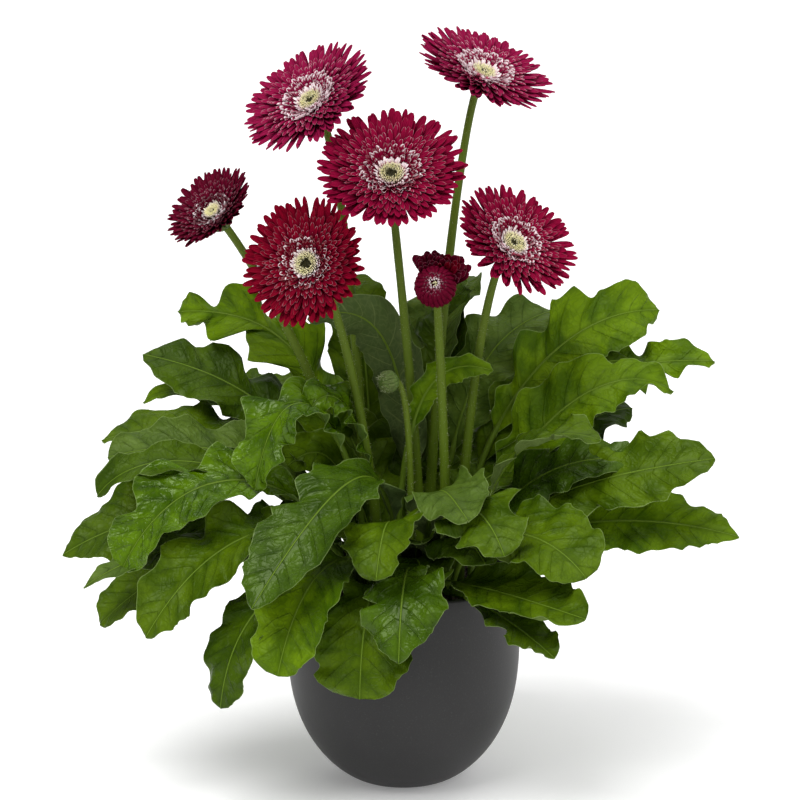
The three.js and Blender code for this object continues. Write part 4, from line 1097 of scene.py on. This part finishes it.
def make_opening():
    """The opening bloom: petals still folded over a ball, with a fan of raised ones behind it."""
    rng = np.random.default_rng(SEEDS["opening"])
    shape = Shape()
    place = head_place(OPENING)
    back, r = HEAD["back"], OPENING["radius"]
    middle = r * 0.72 - back
    ball = [(q, max(z, -back)) for q, z in ball_profile(r * 0.86, middle, -0.9, 1.1)]
    lathe(shape, [(0, -back), *ball, (0, middle + r * 0.62)], 40, (3, 0.3, 0.5, 0), move=place)
    for i, petals in enumerate(OPENING_FOLDS):
        folded_layer(shape, place, rng, (r * (1.0 - 0.03 * i), middle), petals, bulge=3.4, loose=1.8)
    for i in range(2):
        petals = (13 - 2 * i, 30, 74 + 3 * i, 1.7, 0.6)
        folded_layer(shape, place, rng, (r * (0.83 - 0.04 * i), middle + 0.8), petals, slot=1)
    for _ in range(34):
        turn, out = rng.uniform(0, 2 * math.pi), 2.8 * math.sqrt(rng.random())
        low = np.array([out * math.cos(turn), out * math.sin(turn) * 0.6, middle + r * 0.66])
        path = place(low + UP * np.array([[0.0], [1.0], [1.7]]) * rng.uniform(0.7, 1.2))
        ring = 0.1 if abs(out * math.sin(turn)) < 0.5 and turn > math.pi else 0.8
        tubes(shape, path[None], np.array([[0.3, 0.36, 0.12]]), 5, (0.3, 0.8, rng.random(), ring), slot=3)
    fan = dict(start=(5.0, -back + 0.6), pale=0.1, loose=0.02, turn=0.0, count=1, hollow=0.4, blunt=0.85)
    for reach, height, slope, width, first, last, count in OPENING_FAN:
        for angle in np.linspace(math.radians(first), math.radians(last), count) + rng.normal(0, 0.04, count):
            c, d = math.cos(angle), math.sin(angle)
            spin = np.array([[c, -d, 0], [d, c, 0], [0, 0, 1]])
            far = 1 + 0.16 * math.exp(-(((angle - 0.75) / 0.3) ** 2))
            end = (r * reach * far * rng.uniform(0.86, 1.02), height + rng.normal(0, 0.8))
            slot = 4 if 0.5 < angle < 1.35 and rng.random() < 0.7 else 0
            spec = dict(fan, end=end, slope=slope, width=width)
            petal_layer(shape, lambda p: place(p @ spin.T), rng, spec, rows=8, slot=slot)
    finishes = PETALS["dark"] + [FLORETS, PETALS["scarlet"][0]]
    shape.make("opening_bloom_head", finishes, "petals", "opening_bloom_petals", sharp=55)


def make_bud():
    """The green bud: closed bracts over a ball on a short nodding stem, with long pale hairs."""
    rng = np.random.default_rng(SEEDS["bud"])
    shape = Shape()
    place = head_place(BUD)
    r = BUD["radius"]
    stem_tube(shape, BUD, 2.3, 2.0, r * 0.6, BUD_STEM_HAIRS, SEEDS["bud_hairs"], length=1.3)
    ball = ball_profile(r * 0.9, 0.0, -1.3, 1.1)
    lathe(shape, [(0, -r * 0.92), *ball, (0, r * 0.72)], 28, (0, 0.3, 0.5, 0), slot=2, move=place)
    for i, (low, high) in enumerate(((-75, 8), (-64, 22), (-50, 36), (-34, 50), (-16, 62))):
        bracts = (14 - i, low, high, 3.0 - 0.25 * i, 0.8)
        folded_layer(shape, place, rng, (r * (1.05 - 0.03 * i), 0.0), bracts, slot=2, bulge=2.0, loose=1.5)
    turn, lift = rng.uniform(0, 2 * np.pi, BUD_HAIRS), np.arcsin(rng.uniform(-0.9, 0.9, BUD_HAIRS))
    out = np.stack([np.cos(lift) * np.cos(turn), np.cos(lift) * np.sin(turn), np.sin(lift)], -1)
    size = rng.uniform(0.5, 1.4, BUD_HAIRS)[:, None]
    tip = out * (r + size) + rng.normal(0, 0.3, (BUD_HAIRS, 3)) + np.array([0, 0, 0.5])
    add_hairs(shape, place(np.stack([out * (r - 0.2), (out * r + tip) / 2, tip], 1)), (0, 0.5, 0.8, 0))
    shape.make("bud", [STEMS, HAIRS, BRACTS], "stem", "green_bud", sharp=55)


# ---------------------------------------------------------------- studio
LIGHTS = {
    # name: azimuth, elevation and spread in degrees, power
    "key": (-35, 60, 36, 2.6),
    "fill": (50, 40, 60, 1.05),
    "top": (170, 62, 70, 0.8),
}
FLOOR = dict(half=40, below=0.0005)  # metres. It is wide, so that its edge lies above low views too.
CAMERA = dict(target=(-0.0022, 0, 0.252), distance=2.2, elevation=12, lens=153.73)


def toward(azimuth, elevation):
    """The direction from the plant to a place in front of it, turned to its right and raised, in degrees."""
    side, lift = math.radians(azimuth), math.radians(elevation)
    return Vector((math.sin(side) * math.cos(lift), -math.cos(side) * math.cos(lift), math.sin(lift)))


def make_floor():
    half = FLOOR["half"]
    mesh = bpy.data.meshes.new("floor")
    corners = [(-half, -half, 0), (half, -half, 0), (half, half, 0), (-half, half, 0)]
    mesh.from_pydata(corners, [], [(0, 1, 2, 3)])
    floor = bpy.data.objects.new("floor", mesh)
    floor.location.z = -FLOOR["below"]
    bpy.context.scene.collection.objects.link(floor)
    paint = Finish("floor", Roughness=0.9, Specular_IOR_Level=0.1, Emission_Strength=0.2)
    mesh.materials.append(paint.done((0.90, 0.90, 0.90, 1)))


def make_lights():
    world = bpy.data.worlds.new("studio")
    bpy.context.scene.world = world
    world.use_nodes = True
    world.node_tree.nodes["Background"].inputs[0].default_value = (1, 1, 1, 1)
    world.node_tree.nodes["Background"].inputs[1].default_value = 0.24
    for name, (azimuth, elevation, spread, power) in LIGHTS.items():
        data = bpy.data.lights.new(name, "SUN")
        data.angle = math.radians(spread)
        data.energy = power
        lamp = bpy.data.objects.new(name, data)
        way = toward(azimuth, elevation)
        lamp.rotation_euler = (-way).to_track_quat("-Z", "Y").to_euler()
        lamp.location = way * 1.5
        bpy.context.scene.collection.objects.link(lamp)
    bpy.context.scene.view_settings.view_transform = "Standard"


def make_camera():
    data = bpy.data.cameras.new("camera")
    data.sensor_width = 36
    data.lens = CAMERA["lens"]
    camera = bpy.data.objects.new("camera", data)
    target = Vector(CAMERA["target"])
    camera.location = target + toward(0, CAMERA["elevation"]) * CAMERA["distance"]
    camera.rotation_euler = (target - camera.location).to_track_quat("-Z", "Y").to_euler()
    bpy.context.scene.collection.objects.link(camera)
    bpy.context.scene.camera = camera


make_camera()
make_floor()
make_lights()
make_pot()
make_soil()
for number, (leaf_name, leaf_spec) in enumerate(LEAVES.items()):
    make_leaf(leaf_name, leaf_spec, number)
for number, (leaf_name, leaf_spec) in enumerate(SMALL_LEAVES.items()):
    make_leaf(leaf_name, leaf_spec, FIRST_SMALL_LEAF + number, node=False)
for number, (bloom_name, bloom_spec) in enumerate(BLOOMS.items()):
    make_head(bloom_name, bloom_spec, number)
    make_eye(bloom_name, bloom_spec, number)
    stem_node = f"bloom_{bloom_name}_stem"
    make_stem(bloom_name, stem_node, bloom_spec, HEAD["calyx"], HEAD["calyx_depth"], number)
make_opening()
make_stem("opening_bloom", "opening_bloom_stem", OPENING, OPENING["calyx"], OPENING["calyx_depth"], 20)
make_bud()
